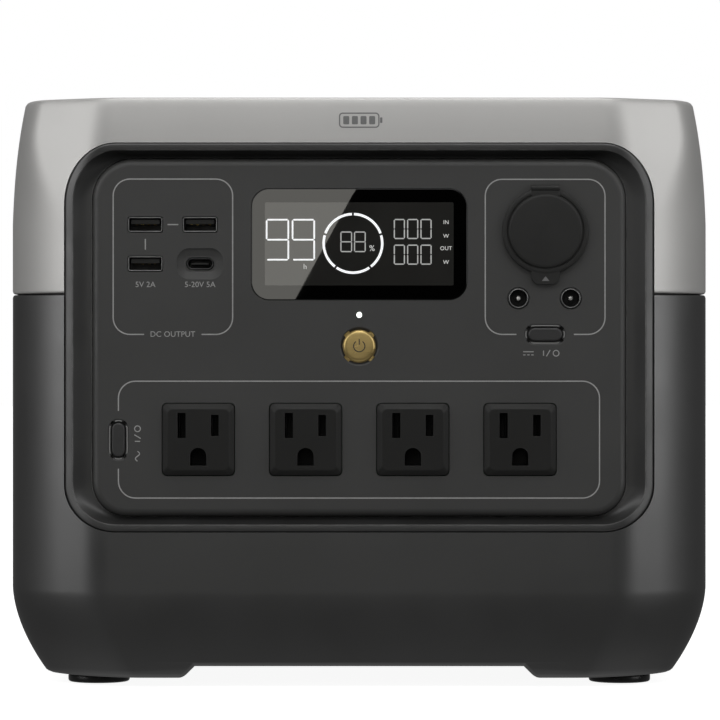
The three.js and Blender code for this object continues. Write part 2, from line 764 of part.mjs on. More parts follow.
// ---- Inverter -----------------------------------------------------------------------------------

const inverterBoard = () => block([-95, 95], [-62, 42], [INVERTER_Z, INVERTER_Z + BOARD_THICK]);

// Upright fins on a base, long from front to back; local z = 0 is the board.
function heatSink() {
  const fins = 7;
  const width = 30;
  const pitch = (width - 2) / (fins - 1);
  const outline = [[-width / 2, 0], [width / 2, 0]];
  for (let i = fins - 1; i >= 0; i--) {
    const left = -width / 2 + i * pitch;
    outline.push([left + 2, 26], [left, 26]);
    if (i > 0) outline.push([left, 4], [left - pitch + 2, 4]);
  }
  return slab(polygon(outline), [-38, 38]);
}

const transformer = () =>
  join(
    block([-19, 19], [-15, 15], [0, 31]),
    slab(roundedRect(26, 22, 6, 0, 15.5), [-19, 19], 2),
  );

const capacitor = () =>
  cut(
    rodZ(11, [0, 38], 0, 0, 18),
    block([-8, 8], [-0.5, 0.5], [37.4, 39]),
    block([-0.5, 0.5], [-8, 8], [37.4, 39]),
  );

// ---- Cooling: local x = 0 is the face of the fan next to the vent, +x points out ----------------

function fanFrame() {
  const half = FAN.size / 2;
  const frame = cut(
    block([-FAN.thick, 0], [-half, half], [-half, half]),
    rodX(FAN.bore, [-FAN.thick - 1, 1], 0, 0, 28),
  );
  const strut = [-2, 0];
  const bearing = cut(
    join(
      block(strut, [-FAN.bore - 1, FAN.bore + 1], [-1.5, 1.5]),
      block(strut, [-1.5, 1.5], [-FAN.bore - 1, FAN.bore + 1]),
      rodX(FAN.hub, strut, 0, 0, 20),
      rodX(3, [-4, 0], 0, 0, 16),
    ),
    rodX(1.58, [-5, -0.6], 0, 0, 16),
  );
  return join(frame, bearing);
}

function fanRotor() {
  const hub = join(
    rodX(FAN.hub, [-FAN.thick + 1, -4.6], 0, 0, 16),
    rodX(1.5, [-5, -1], 0, 0, 16),
  );
  const blades = [];
  for (let i = 0; i < FAN.blades; i++) {
    const blade = new THREE.BoxGeometry(1.2, 15, 15.6);
    blade.rotateZ(THREE.MathUtils.degToRad(56));
    blade.translate(-8.9, 0, FAN.hub + 7.2);
    blade.rotateX((2 * Math.PI * i) / FAN.blades);
    blades.push(solidOf(blade));
  }
  return join(hub, ...blades);
}

// A plate with level slots, set flush in the side of the lower shell.
function ventGrille() {
  const height = VENT.top - VENT.bottom;
  const pitch = (height - 8) / VENT.slats;
  const plate = block([-WALL + 0.2, 0], [-VENT.half, VENT.half], [VENT.bottom, VENT.top]);
  const slots = [];
  for (let i = 0; i < VENT.slats; i++) {
    const z = VENT.bottom + 4 + (i + 0.5) * pitch;
    const tall = (pitch - 2.6) / 2;
    slots.push(block([-WALL - 1, 1], [4 - VENT.half, VENT.half - 4], [z - tall, z + tall]));
  }
  return cut(plate, ...slots);
}

// ---- Rear inputs --------------------------------------------------------------------------------

function inputPanel() {
  const outside = CORE_REAR;
  const { half, bottom, top } = INPUT;
  const { y, z, barrel, bore } = DOOR_HINGE;
  const plate = block([-half, half], [outside - WALL, outside], [bottom, top]);
  const knuckles = [-34, 34].flatMap((x) => [
    rodX(barrel, [x - 3.6, x + 3.6], y, z),
    block([x - 3.6, x + 3.6], [outside - 1, y], [z - barrel, z + 0.6]),
  ]);
  const hole = (inlet) => {
    const shape = roundedRect(inlet.width + 0.6, inlet.height + 0.6, 1.5, inlet.x, inlet.z);
    return slab(shape, [outside - 9, outside + 1], 2);
  };
  const pinHole = rodX(bore, [-38, 38], y, z);
  return cut(join(cut(plate, hole(AC_INLET), hole(SOLAR_INLET)), ...knuckles), pinHole);
}

// A flap over both inlets, with its hinge barrel along the lower edge.
function inputDoor() {
  const { y, z, barrel, bore, half } = DOOR_HINGE;
  const inside = CORE_REAR + 0.5;
  const outside = inside + 2.2;
  const low = z + 2.4;
  const plate = slab(roundedRect(96, 188.6 - low, 3, 0, (188.6 + low) / 2), [inside, outside]);
  const web = block([-half, half], [inside + 0.3, outside], [z, low + 1]);
  const lift = block([-9, 9], [outside - 0.2, outside + 1.6], [184, 187]);
  return cut(join(plate, web, lift, rodX(barrel, [-half, half], y, z)), rodX(bore, [-50, 50], y, z));
}

const doorHingePin = () => rodX(DOOR_HINGE.pin, [-37.4, 37.4], DOOR_HINGE.y, DOOR_HINGE.z);

// A recessed three-blade inlet; local y = 0 is the rear surface, the body goes to -y.
function acInlet() {
  const { width, height } = AC_INLET;
  const body = slab(roundedRect(width, height, 1.2), [-26, -0.1], 2);
  const mouth = polygon([[-12.1, -8.3], [12.1, -8.3], [12.1, 4.3], [8, 8.3], [-8, 8.3], [-12.1, 4.3]]);
  const blades = [[-7, -1.5], [0, 2.5], [7, -1.5]].map(([x, z]) =>
    block([x - 1, x + 1], [-22, -6], [z - 2, z + 2]),
  );
  return join(cut(body, slab(mouth, [-21, 1])), ...blades);
}

function solarInlet() {
  const body = slab(roundedRect(SOLAR_INLET.width, SOLAR_INLET.height, 1.2), [-20, -0.1], 2);
  const mouth = polygon([[-8, -4.1], [5.5, -4.1], [8, -1.8], [8, 1.8], [5.5, 4.1], [-8, 4.1]]);
  const pins = [-3.7, 3.7].map((x) => rodY(1.9, [-15, -5.5], x, 0, 12));
  return join(cut(body, slab(mouth, [-14, 1])), ...pins);
}

// ---- Feet and screws ----------------------------------------------------------------------------

// A profile of [radius, z] points turned about the Z axis.
function turnedUp(profile, sides) {
  const points = profile.map(([r, z]) => new THREE.Vector2(r, z));
  const geometry = new THREE.LatheGeometry(points, sides);
  geometry.rotateX(Math.PI / 2);
  return solidOf(geometry);
}

const foot = () =>
  turnedUp(
    [
      [0, 0],
      [FOOT_RADIUS - 1, 0],
      [FOOT_RADIUS, 0.9],
      [FOOT_RADIUS, CASE_BOTTOM - GAP - 0.5],
      [FOOT_RADIUS - 0.6, CASE_BOTTOM - GAP],
      [8, CASE_BOTTOM - GAP],
      [8, 5],
      [0, 5],
    ],
    20,
  );

const caseScrew = () => {
  const screw = turnedUp([[0, 5.9], [3.4, 5.9], [3.7, 6.3], [3.7, 8.1], [1.9, 8.1], [1.9, 13], [0, 13]], 10);
  return cut(screw, rodZ(1.7, [5, 7.6], 0, 0, 6));
};

// ---- Assembly -----------------------------------------------------------------------------------

const LOOKS = {
  light_case: { color: 0x9b9b98, roughness: 0.55, metalness: 0 },
  dark_case: { color: 0x2c2c2c, roughness: 0.6, metalness: 0 },
  bezel: { color: 0x3e3e3c, roughness: 0.5, metalness: 0 },
  panel: { color: 0x3a3a39, roughness: 0.6, metalness: 0 },
  lens: { color: 0x0b0b0b, roughness: 0.08, metalness: 0 },
  module: { color: 0x1c1c1c, roughness: 0.5, metalness: 0 },
  light: { color: 0xf2f2ee, roughness: 0.3, metalness: 0 },
  plated: { color: 0xb9b9b6, roughness: 0.3, metalness: 1 },
  black: { color: 0x1b1b1a, roughness: 0.55, metalness: 0 },
  outlet: { color: 0x232322, roughness: 0.45, metalness: 0 },
  gold: { color: 0x8d7846, roughness: 0.35, metalness: 1 },
  button: { color: 0x333332, roughness: 0.5, metalness: 0 },
  rubber: { color: 0x161616, roughness: 0.7, metalness: 0 },
  board: { color: 0x1f5130, roughness: 0.6, metalness: 0 },
  sheet: { color: 0xa9abad, roughness: 0.4, metalness: 1 },
  cell: { color: 0x2d5a8c, roughness: 0.45, metalness: 0 },
  alloy: { color: 0xb4b6b8, roughness: 0.45, metalness: 1 },
  winding: { color: 0x6d4a22, roughness: 0.6, metalness: 0 },
  cable: { color: 0xb03024, roughness: 0.55, metalness: 0 },
  steel: { color: 0x8c8d8f, roughness: 0.3, metalness: 1 },
};

function piece(name, solid, look, place = [0, 0, 0]) {
  const material = new THREE.MeshStandardMaterial({ name: look, ...LOOKS[look] });
  const mesh = new THREE.Mesh(geometryOf(solid), material);
  mesh.name = name;
  mesh.position.set(...place);
  return mesh;
}

function groupOf(name, place, ...children) {
  const group = new THREE.Group();
  group.name = name;
  group.position.set(...place);
  group.add(...children);
  return group;
}

function caseGroup() {
  return groupOf(
    "case",
    [0, 0, 0],
    piece("upper_shell", upperShell(), "light_case"),
    piece("handle_cover", handleCover(), "dark_case"),
    piece("lower_shell", lowerShell(), "dark_case"),
    piece("front_bezel", frontBezel(), "bezel"),
  );
}

function frontGroup() {
  const atPanel = ({ x, z }) => [x, 0, z];
  const group = groupOf(
    "front",
    [0, PANEL_Y, 0],
    piece("front_panel", frontPanel(), "panel"),
    piece("display_lens", displayLens(), "lens", atPanel(DISPLAY)),
    piece("display_module", displayModule(), "module", atPanel(DISPLAY)),
    piece("status_light", statusLight(), "light", atPanel(STATUS_LIGHT)),
    piece("usb_c_port", usbCPort(), "plated", [USB_C_PLACE[0], 0, USB_C_PLACE[1]]),
    piece("car_socket", carSocket(), "plated", atPanel(CAR_SOCKET)),
    piece("car_socket_cover", carSocketCover(), "black", atPanel(CAR_SOCKET)),
    piece("power_button", powerButton(), "gold", atPanel(POWER_BUTTON)),
    piece("dc_button", barButton(DC_BUTTON, IO_BOARD_Y), "button", atPanel(DC_BUTTON)),
    piece("ac_button", barButton(AC_BUTTON, AC_BOARD_Y), "button", atPanel(AC_BUTTON)),
    piece("io_board", ioBoard(), "board", [0, IO_BOARD_Y - PANEL_Y, 0]),
    piece("ac_board", acBoard(), "board", [0, AC_BOARD_Y - PANEL_Y, 0]),
  );
  USB_A_PLACES.forEach(([x, z], i) => {
    group.add(piece(`usb_a_port_${i + 1}`, usbAPort(), "plated", [x, 0, z]));
  });
  JACK_PLACES.forEach(([x, z], i) => {
    group.add(piece(`barrel_jack_${["left", "right"][i]}`, barrelJack(), "black", [x, 0, z]));
  });
  outletCentres().forEach((x, i) => {
    group.add(piece(`ac_outlet_${i + 1}`, acOutlet(), "outlet", [x, 0, OUTLET.z]));
  });
  return group;
}

function batteryGroup() {
  const stacks = [-1, 0, 1].map((i) =>
    piece(`cell_stack_${i + 2}`, cellStack(), "cell", [i * CELL_PITCH, 0, 0]),
  );
  return groupOf(
    "battery",
    [0, 0, 0],
    piece("battery_tray", batteryTray(), "sheet"),
    piece("battery_clamp", batteryClamp(), "sheet"),
    piece("bms_board", bmsBoard(), "board", [0, -76, 0]),
    piece("battery_cable", batteryCable(), "cable"),
    ...stacks,
  );
}

function inverterGroup() {
  const onBoard = INVERTER_Z + BOARD_THICK + GAP;
  return groupOf(
    "inverter",
    [0, 0, 0],
    piece("inverter_board", inverterBoard(), "board"),
    piece("heat_sink_left", heatSink(), "alloy", [-74, -4, onBoard]),
    piece("heat_sink_right", heatSink(), "alloy", [74, -4, onBoard]),
    piece("transformer", transformer(), "winding", [0, -22, onBoard]),
    piece("capacitor_1", capacitor(), "module", [-14, 26, onBoard]),
    piece("capacitor_2", capacitor(), "module", [14, 26, onBoard]),
  );
}

// One side's fan and vent, turned half round for the left side.
function coolingGroup(side, turn) {
  const group = groupOf(
    `cooling_${side}`,
    [0, 0, 0],
    piece(`fan_frame_${side}`, fanFrame(), "black", [HALF - WALL - GAP, 0, FAN.z]),
    piece(`fan_rotor_${side}`, fanRotor(), "black", [HALF - WALL - GAP, 0, FAN.z]),
    piece(`vent_grille_${side}`, ventGrille(), "dark_case", [HALF - 0.1, 0, 0]),
  );
  group.rotation.z = turn;
  return group;
}

function inputGroup() {
  return groupOf(
    "inputs",
    [0, 0, 0],
    piece("input_panel", inputPanel(), "panel"),
    piece("input_door", inputDoor(), "dark_case"),
    piece("door_hinge_pin", doorHingePin(), "steel"),
    piece("ac_inlet", acInlet(), "black", [AC_INLET.x, CORE_REAR, AC_INLET.z]),
    piece("solar_inlet", solarInlet(), "black", [SOLAR_INLET.x, CORE_REAR, SOLAR_INLET.z]),
  );
}

function feetGroup() {
  const corners = ["front_left", "front_right", "rear_left", "rear_right"];
  const children = FOOT_PLACES.flatMap(([x, y], i) => [
    piece(`foot_${corners[i]}`, foot(), "rubber", [x, y, 0]),
    piece(`case_screw_${corners[i]}`, caseScrew(), "steel", [x, y, 0]),
  ]);
  return groupOf("feet", [0, 0, 0], ...children);
}

const powerStation = groupOf(
  "power_station",
  [0, 0, 0],
  caseGroup(),
  frontGroup(),
  batteryGroup(),
  inverterGroup(),
  coolingGroup("right", 0),
  coolingGroup("left", Math.PI),
  inputGroup(),
  feetGroup(),
);

export default powerStation;
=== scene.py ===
"""The looks of a portable power station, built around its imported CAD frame.

Shapes are worked out in millimetres from the frame's own boxes and scaled to metres when a mesh is made.
"""

import json
import math

import bmesh
import bpy
from mathutils import Matrix, Vector


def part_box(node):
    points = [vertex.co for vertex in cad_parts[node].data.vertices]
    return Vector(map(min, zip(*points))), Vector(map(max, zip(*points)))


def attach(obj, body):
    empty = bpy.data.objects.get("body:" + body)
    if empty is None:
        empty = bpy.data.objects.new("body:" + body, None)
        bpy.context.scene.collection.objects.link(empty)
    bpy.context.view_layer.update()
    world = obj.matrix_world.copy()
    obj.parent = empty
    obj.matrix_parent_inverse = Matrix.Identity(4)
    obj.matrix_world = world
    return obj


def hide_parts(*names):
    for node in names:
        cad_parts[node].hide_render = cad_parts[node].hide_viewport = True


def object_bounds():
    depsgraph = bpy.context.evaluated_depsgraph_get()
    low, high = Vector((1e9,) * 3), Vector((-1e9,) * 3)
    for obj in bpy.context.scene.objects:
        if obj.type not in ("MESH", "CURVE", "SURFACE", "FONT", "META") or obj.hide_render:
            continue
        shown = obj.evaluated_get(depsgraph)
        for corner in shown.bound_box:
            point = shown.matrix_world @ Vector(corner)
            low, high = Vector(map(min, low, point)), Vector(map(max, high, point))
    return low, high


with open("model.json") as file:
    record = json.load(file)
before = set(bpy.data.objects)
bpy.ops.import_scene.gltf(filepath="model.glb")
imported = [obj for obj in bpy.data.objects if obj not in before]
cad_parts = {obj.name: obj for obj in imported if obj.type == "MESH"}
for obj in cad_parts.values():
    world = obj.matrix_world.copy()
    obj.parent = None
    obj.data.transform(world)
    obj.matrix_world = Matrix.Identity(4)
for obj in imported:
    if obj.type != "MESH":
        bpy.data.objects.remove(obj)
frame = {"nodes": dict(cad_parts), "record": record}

MM = 0.001
CAD_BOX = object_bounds()
CASE = "case"


# ---- Measures from the frame ----


def cad(node):
    """Lowest and highest corner of a CAD node, in millimetres."""
    low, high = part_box(node)
    return Vector(low) / MM, Vector(high) / MM


def centre(node):
    low, high = cad(node)
    return (low + high) / 2


def size(node):
    low, high = cad(node)
    return high - low


LOW, HIGH = (Vector(corner) / MM for corner in CAD_BOX)
HALF = HIGH.x
FRONT = cad("upper_shell")[0].y
REAR = HIGH.y
HEIGHT = HIGH.z
CORE_REAR = cad("lower_shell")[1].y
CORE_MIDDLE = (FRONT + CORE_REAR) / 2
CASE_BOTTOM = cad("lower_shell")[0].z
SEAM_TOP = cad("upper_shell")[0].z
SEAM_LOW = SEAM_TOP - 0.4
PANEL_LOW, PANEL_HIGH = cad("front_panel")
PANEL_Y = PANEL_LOW.y

# The case's form, as in the CAD.
WALL = 2.8
FACET_START = 101.6
FACET_ANGLE = math.radians(28)
FACET_BLEND = 6
EDGE_END = -98.5
CORE_REAR_RADIUS = 12
HANDLE_RADIUS = 26
GRIP_HALF = 78
GRIP_REAR = 108
GRIP_RADIUS = 10
ARM_LINE = [(CORE_REAR - 20, 168), (CORE_REAR, 176), (GRIP_REAR, 196), (REAR + 10, 199)]
LEAN_START = 199
LEAN = 1.8
SHOULDER = 178
TOP_EDGE = 222.4
TOP_HALF = 130.4
CHANNEL_HALF = 63.1
CHANNEL_Z = 8.2
BEZEL = {"half": 113, "low": 59.9, "high": 208.5, "top": (20, 23), "bottom": (20, 18)}
BEZEL_LIP = {"half": 109.6, "low": 62.8, "high": 205.6, "top": (17, 20), "bottom": (17, 15)}
PANEL = {
    "half": PANEL_HIGH.x,
    "low": PANEL_LOW.z,
    "high": PANEL_HIGH.z,
    "top": (15.5, 15.5),
    "bottom": (13, 13),
}

FEET = [name for name in frame["nodes"] if name.startswith("foot_")]
USB_A = [f"usb_a_port_{i}" for i in (1, 2, 3)]
OUTLETS = [f"ac_outlet_{i}" for i in (1, 2, 3, 4)]
BUTTON_SIZES = {"dc_button": (13, 5), "ac_button": (5, 13)}
ROUND_HOLES = {"car_socket": 12.4, "barrel_jack_left": 4.25, "barrel_jack_right": 4.25, "status_light": 1.35}


# ---- Meshes ----
# A form is (points, faces): points in millimetres, faces as lists of point numbers.


def merge(*forms):
    points, faces = [], []
    for more_points, more_faces in forms:
        base = len(points)
        points += more_points
        faces += [[base + i for i in face] for face in more_faces]
    return points, faces


def loft(rings, closed=False):
    """Rings of equal length joined one to the next, with an end cap each or closed round."""
    count = len(rings[0])
    points = [tuple(p) for ring in rings for p in ring]
    faces = []
    last = len(rings) if closed else len(rings) - 1
    for k in range(last):
        here, after = k * count, (k + 1) % len(rings) * count
        for i in range(count):
            j = (i + 1) % count
            faces.append([here + i, here + j, after + j, after + i])
    if not closed:
        faces.append(list(range(count - 1, -1, -1)))
        faces.append([len(points) - count + i for i in range(count)])
    return points, faces


def turned(profile, place, sides=96):
    """A profile of (radius, depth) turned about an axis along Y through place (x, y, z)."""
    x, y, z = place
    points, faces, rows = [], [], []
    for radius, depth in profile:
        if radius < 1e-6:
            rows.append([len(points)])
            points.append((x, y + depth, z))
            continue
        rows.append(list(range(len(points), len(points) + sides)))
        for i in range(sides):
            angle = math.tau * i / sides
            points.append((x + radius * math.cos(angle), y + depth, z + radius * math.sin(angle)))
    for low, high in zip(rows, rows[1:]):
        for i in range(sides):
            j = (i + 1) % sides
            if len(low) == 1:
                faces.append([low[0], high[j], high[i]])
            elif len(high) == 1:
                faces.append([low[i], low[j], high[0]])
            else:
                faces.append([low[i], low[j], high[j], high[i]])
    return points, faces


def rod(radius, front, back, place, sides):
    """A plain round bar along Y."""
    return turned([(0, front), (radius, front), (radius, back), (0, back)], place, sides)


def upright(form, place):
    """A form turned about the Y axis stood up along Z at place."""
    points, faces = form
    x, y, z = place
    return [(px + x, -pz + y, py + z) for px, py, pz in points], faces


def rounded_loop(width, height, radius, x=0, z=0, steps=8):
    """(x, z) points of a rounded rectangle, anticlockwise from its right side."""
    radius = min(radius, width / 2, height / 2)
    right, top = width / 2 - radius, height / 2 - radius
    corners = [(right, top, 0), (-right, top, 90), (-right, -top, 180), (right, -top, 270)]
    loop = []
    for cx, cz, start in corners:
        for i in range(steps + 1):
            angle = math.radians(start + 90 * i / steps)
            loop.append((x + cx + radius * math.cos(angle), z + cz + radius * math.sin(angle)))
    return loop


def at_depth(loop, y):
    return [(x, y, z) for x, z in loop]


def slab(loop, front, back):
    return loft([at_depth(loop, back), at_depth(loop, front)])


def plate(width, height, radius, x, z, front, back, steps=8):
    return slab(rounded_loop(width, height, radius, x, z, steps), front, back)


def pad(width, height, radius, x, z, front, back, edge=0.3, steps=8, rounds=4):
    """A slab with a rounded front edge."""
    rings = [at_depth(rounded_loop(width, height, radius, x, z, steps), back)]
    for i in range(rounds + 1):
        angle = math.pi / 2 * i / rounds
        inset = edge * (1 - math.cos(angle))
        y = front + edge * (1 - math.sin(angle))
        smaller = (width - 2 * inset, height - 2 * inset, max(radius - inset, 0.01))
        rings.append(at_depth(rounded_loop(*smaller, x, z, steps), y))
    return loft(rings)


def box_form(low, high):
    (x0, y0, z0), (x1, y1, z1) = low, high
    return loft([[(x0, y0, z), (x1, y0, z), (x1, y1, z), (x0, y1, z)] for z in (z0, z1)])


def frame_loop(shape, inset=0, steps=18):
    """(x, z) points of a frame whose upper and lower corners differ."""
    half, low, high = shape["half"] - inset, shape["low"] + inset, shape["high"] - inset
    tx, tz = (max(r - inset, 0.5) for r in shape["top"])
    bx, bz = (max(r - inset, 0.5) for r in shape["bottom"])
    corners = [
        (half - tx, high - tz, tx, tz, 0),
        (-half + tx, high - tz, tx, tz, 90),
        (-half + bx, low + bz, bx, bz, 180),
        (half - bx, low + bz, bx, bz, 270),
    ]
    loop = []
    for cx, cz, rx, rz, start in corners:
        for i in range(steps + 1):
            angle = math.radians(start + 90 * i / steps)
            loop.append((cx + rx * math.cos(angle), cz + rz * math.sin(angle)))
    return loop


def between(loop_a, loop_b, share):
    return [
        (ax + (bx - ax) * share, az + (bz - az) * share)
        for (ax, az), (bx, bz) in zip(loop_a, loop_b)
    ]


def ribbon(path, width, front, back, closed=False):
    """A flat line of some width along (x, z) points."""
    count = len(path)
    sides = ([], [])
    for i, (x, z) in enumerate(path):
        before = path[i - 1] if closed or i else path[i]
        after = path[(i + 1) % count] if closed or i < count - 1 else path[i]
        dx, dz = after[0] - before[0], after[1] - before[1]
        length = math.hypot(dx, dz) or 1
        nx, nz = -dz / length * width / 2, dx / length * width / 2
        sides[0].append((x + nx, z + nz))
        sides[1].append((x - nx, z - nz))
    rings = [
        [(a[0], back, a[1]), (a[0], front, a[1]), (b[0], front, b[1]), (b[0], back, b[1])]
        for a, b in zip(*sides)
    ]
    return loft(rings, closed)


def arc(x, z, radius, start, end, steps=24):
    angles = [math.radians(start + (end - start) * i / steps) for i in range(steps + 1)]
    return [(x + radius * math.cos(a), z + radius * math.sin(a)) for a in angles]


def put_in_scene(name, data):
    obj = bpy.data.objects.new(name, data)
    bpy.context.scene.collection.objects.link(obj)
    return obj


def new_object(name, form):
    points, faces = form
    mesh = bpy.data.meshes.new(name)
    mesh.from_pydata([(x * MM, y * MM, z * MM) for x, y, z in points], [], faces)
    tidy = bmesh.new()
    tidy.from_mesh(mesh)
    bmesh.ops.remove_doubles(tidy, verts=tidy.verts, dist=1e-7)
    bmesh.ops.recalc_face_normals(tidy, faces=tidy.faces)
    tidy.to_mesh(mesh)
    tidy.free()
    return put_in_scene(name, mesh)


def carve(obj, *forms, operation="DIFFERENCE"):
    """Cuts forms out of a piece, or keeps what they share, as its new mesh."""
    tools = [new_object("tool", form) for form in forms]
    for tool in tools:
        modifier = obj.modifiers.new("carve", "BOOLEAN")
        modifier.operation = operation
        modifier.solver = "MANIFOLD"
        modifier.object = tool
    graph = bpy.context.evaluated_depsgraph_get()
    mesh = bpy.data.meshes.new_from_object(obj.evaluated_get(graph))
    obj.modifiers.clear()
    obj.data = mesh
    for tool in tools:
        bpy.data.objects.remove(tool)


def round_edges(obj, radius, chosen):
    """Rounds the sharp edges whose ends are both chosen by their place in millimetres."""
    work = bmesh.new()
    work.from_mesh(obj.data)
    edges = [
        e for e in work.edges
        if len(e.link_faces) == 2
        and e.calc_face_angle() > math.radians(25)
        and all(chosen(v.co / MM) for v in e.verts)
    ]
    bmesh.ops.bevel(work, geom=edges, offset=radius * MM, segments=4, profile=0.5, affect="EDGES")
    work.to_mesh(obj.data)
    work.free()


def smooth(obj, angle, bevel, flats):
    """Smooth shading that stays crisp at edges, with small rounded edges where asked.

    With flats, the edges of large plane faces are crisp too, so that nothing bends their shading.
    """
    if bevel:
        modifier = obj.modifiers.new("edges", "BEVEL")
        modifier.width = bevel * MM
        modifier.segments = 2
        modifier.limit_method = "ANGLE"
        modifier.angle_limit = math.radians(40)
        modifier.harden_normals = True
    for face in obj.data.polygons:
        face.use_smooth = True
    obj.data.set_sharp_from_angle(angle=math.radians(angle))
    if flats:
        work = bmesh.new()
        work.from_mesh(obj.data)
        for edge in work.edges:
            areas = sorted(face.calc_area() / MM ** 2 for face in edge.link_faces)
            if len(areas) == 2 and areas[1] > 4 and edge.calc_face_angle() > math.radians(0.5):
                edge.smooth = False
        work.to_mesh(obj.data)
        work.free()
    if not bevel:
        normals = obj.modifiers.new("normals", "WEIGHTED_NORMAL")
        normals.keep_sharp = True


def piece(name, form, material, body=CASE, replaces=(), angle=32, bevel=0, flats=False):
    obj = form if isinstance(form, bpy.types.Object) else new_object(name, form)
    obj.name = name
    obj.data.materials.clear()
    obj.data.materials.append(material)
    smooth(obj, angle, bevel, flats)
    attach(obj, body)
    if replaces:
        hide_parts(*replaces)
    return obj


# ---- Materials ----


RANGE_SOCKETS = ("From Min", "From Max", "To Min", "To Max")


class Finish:
    """A material under construction: a Principled shader and the nodes that feed it."""

    def __init__(self, name, color, roughness=0.5, metallic=0.0, **sockets):
        self.material = bpy.data.materials.new(name)
        self.material.use_nodes = True
        self.tree = self.material.node_tree
        self.shader = self.tree.nodes["Principled BSDF"]
        self.color = (*color, 1)
        self.set("Base Color", self.color)
        self.set("Roughness", roughness)
        self.set("Metallic", metallic)
        for key, value in sockets.items():
            self.set(key.replace("_", " "), value)
        self.height = None
        self.place = self.node("ShaderNodeTexCoord").outputs["Object"]

    def set(self, socket, value):
        self.shader.inputs[socket].default_value = value

    def node(self, kind, **values):
        node = self.tree.nodes.new(kind)
        for key, value in values.items():
            if hasattr(node, key):
                setattr(node, key, value)
            else:
                node.inputs[key.replace("_", " ")].default_value = value
        return node

    def link(self, start, end):
        self.tree.links.new(start, end)

    def noise(self, scale, detail=2.0, stretch=None):
        source = self.place
        if stretch:
            mapping = self.node("ShaderNodeMapping")
            mapping.inputs["Scale"].default_value = stretch
            self.link(source, mapping.inputs["Vector"])
            source = mapping.outputs["Vector"]
        node = self.node("ShaderNodeTexNoise", Scale=scale, Detail=detail)
        self.link(source, node.inputs["Vector"])
        return node.outputs["Fac"]

    def ranged(self, value, low, high, start=0.3, end=0.7):
        node = self.node("ShaderNodeMapRange")
        for key, number in zip(RANGE_SOCKETS, (start, end, low, high)):
            node.inputs[key].default_value = number
        self.link(value, node.inputs["Value"])
        return node.outputs["Result"]

    def mix(self, factor, first, second):
        node = self.node("ShaderNodeMix", data_type="RGBA")
        self.link(factor, node.inputs["Factor"])
        for socket, value in ((node.inputs[6], first), (node.inputs[7], second)):
            if isinstance(value, tuple):
                socket.default_value = (*value[:3], 1)
            else:
                self.link(value, socket)
        return node.outputs[2]

    def mottle(self, scale, amount, stretch=None):
        """Slow changes of tone over the surface."""
        darker = tuple(c * (1 - amount) for c in self.color[:3])
        lighter = tuple(min(c * (1 + amount), 1) for c in self.color[:3])
        shade = self.mix(self.ranged(self.noise(scale, 4, stretch), 0, 1), darker, lighter)
        self.link(shade, self.shader.inputs["Base Color"])
        self.tone = shade
        return self

    def worn(self, color, radius=0.7, amount=0.6):
        """Edges rubbed to another tone, broken up by a fine noise; radius in millimetres."""
        bent = self.node("ShaderNodeBevel", Radius=radius * MM, samples=4)
        straight = self.node("ShaderNodeNewGeometry")
        turned_by = self.node("ShaderNodeVectorMath", operation="DOT_PRODUCT")
        self.link(bent.outputs["Normal"], turned_by.inputs[0])
        self.link(straight.outputs["Normal"], turned_by.inputs[1])
        edge = self.ranged(turned_by.outputs["Value"], 0, amount, 0.995, 0.9)
        both = self.node("ShaderNodeMath", operation="MULTIPLY")
        self.link(edge, both.inputs[0])
        self.link(self.ranged(self.noise(220, 4), 0.1, 1, 0.35, 0.65), both.inputs[1])
        self.tone = self.mix(both.outputs[0], getattr(self, "tone", self.color), color)
        self.link(self.tone, self.shader.inputs["Base Color"])
        return self

    def patchy_gloss(self, scale, low, high, stretch=None):
        rough = self.ranged(self.noise(scale, 5, stretch), low, high)
        self.link(rough, self.shader.inputs["Roughness"])
        return self

    def grain(self, scale, height, strength=0.4, stretch=None, detail=2.0):
        """Fine relief; height in millimetres."""
        bump = self.node("ShaderNodeBump", Strength=strength, Distance=height * MM)
        self.link(self.noise(scale, detail, stretch), bump.inputs["Height"])
        if self.height is not None:
            self.link(self.height, bump.inputs["Normal"])
        self.height = bump.outputs["Normal"]
        self.link(self.height, self.shader.inputs["Normal"])
        return self


def moulded(name, color, roughness, grain=0.02, worn=None, mottle=0.05, metallic=0.0, ior=1.46, patches=1.0):
    """Moulded plastic with a spark-eroded grain, faint clouding and slightly rubbed edges."""
    finish = Finish(name, color, roughness, metallic, IOR=ior)
    finish.mottle(28, mottle).patchy_gloss(45, roughness - 0.06 * patches, roughness + 0.08 * patches)
    finish.worn(worn or tuple(min(c * 1.35 + 0.01, 1) for c in color))
    finish.grain(2600, grain, 0.35).grain(700, grain, 0.12)
    return finish.material


def glossy(name, color, roughness=0.12, ior=1.42):
    """Hard polished plastic with faint smears."""
    finish = Finish(name, color, roughness, IOR=ior)
    finish.mottle(60, 0.1).patchy_gloss(90, roughness * 0.7, roughness * 1.6)
    finish.grain(30, 0.002, 0.02)
    return finish.material


def metal(name, color, roughness=0.3, stretch=(1, 1, 1), mottle=0.06):
    """Metal with fine drawn lines and patchy polish."""
    finish = Finish(name, color, roughness, metallic=1.0)
    finish.mottle(60, mottle, stretch).patchy_gloss(300, roughness - 0.07, roughness + 0.1, stretch)
    finish.grain(1500, 0.01, 0.2, stretch)
    return finish.material


def rubber(name, color, roughness=0.55, sheen=0.08):
    finish = Finish(name, color, roughness, Sheen_Weight=sheen, Sheen_Roughness=0.4, IOR=1.4)
    finish.mottle(70, 0.12).patchy_gloss(120, roughness - 0.1, roughness + 0.1)
    finish.grain(1400, 0.03, 0.3)
    return finish.material


def printed(name, color):
    """Screen-printed ink with slightly uneven cover."""
    finish = Finish(name, color, 0.5)
    finish.mottle(900, 0.07).grain(3000, 0.01, 0.2)
    return finish.material


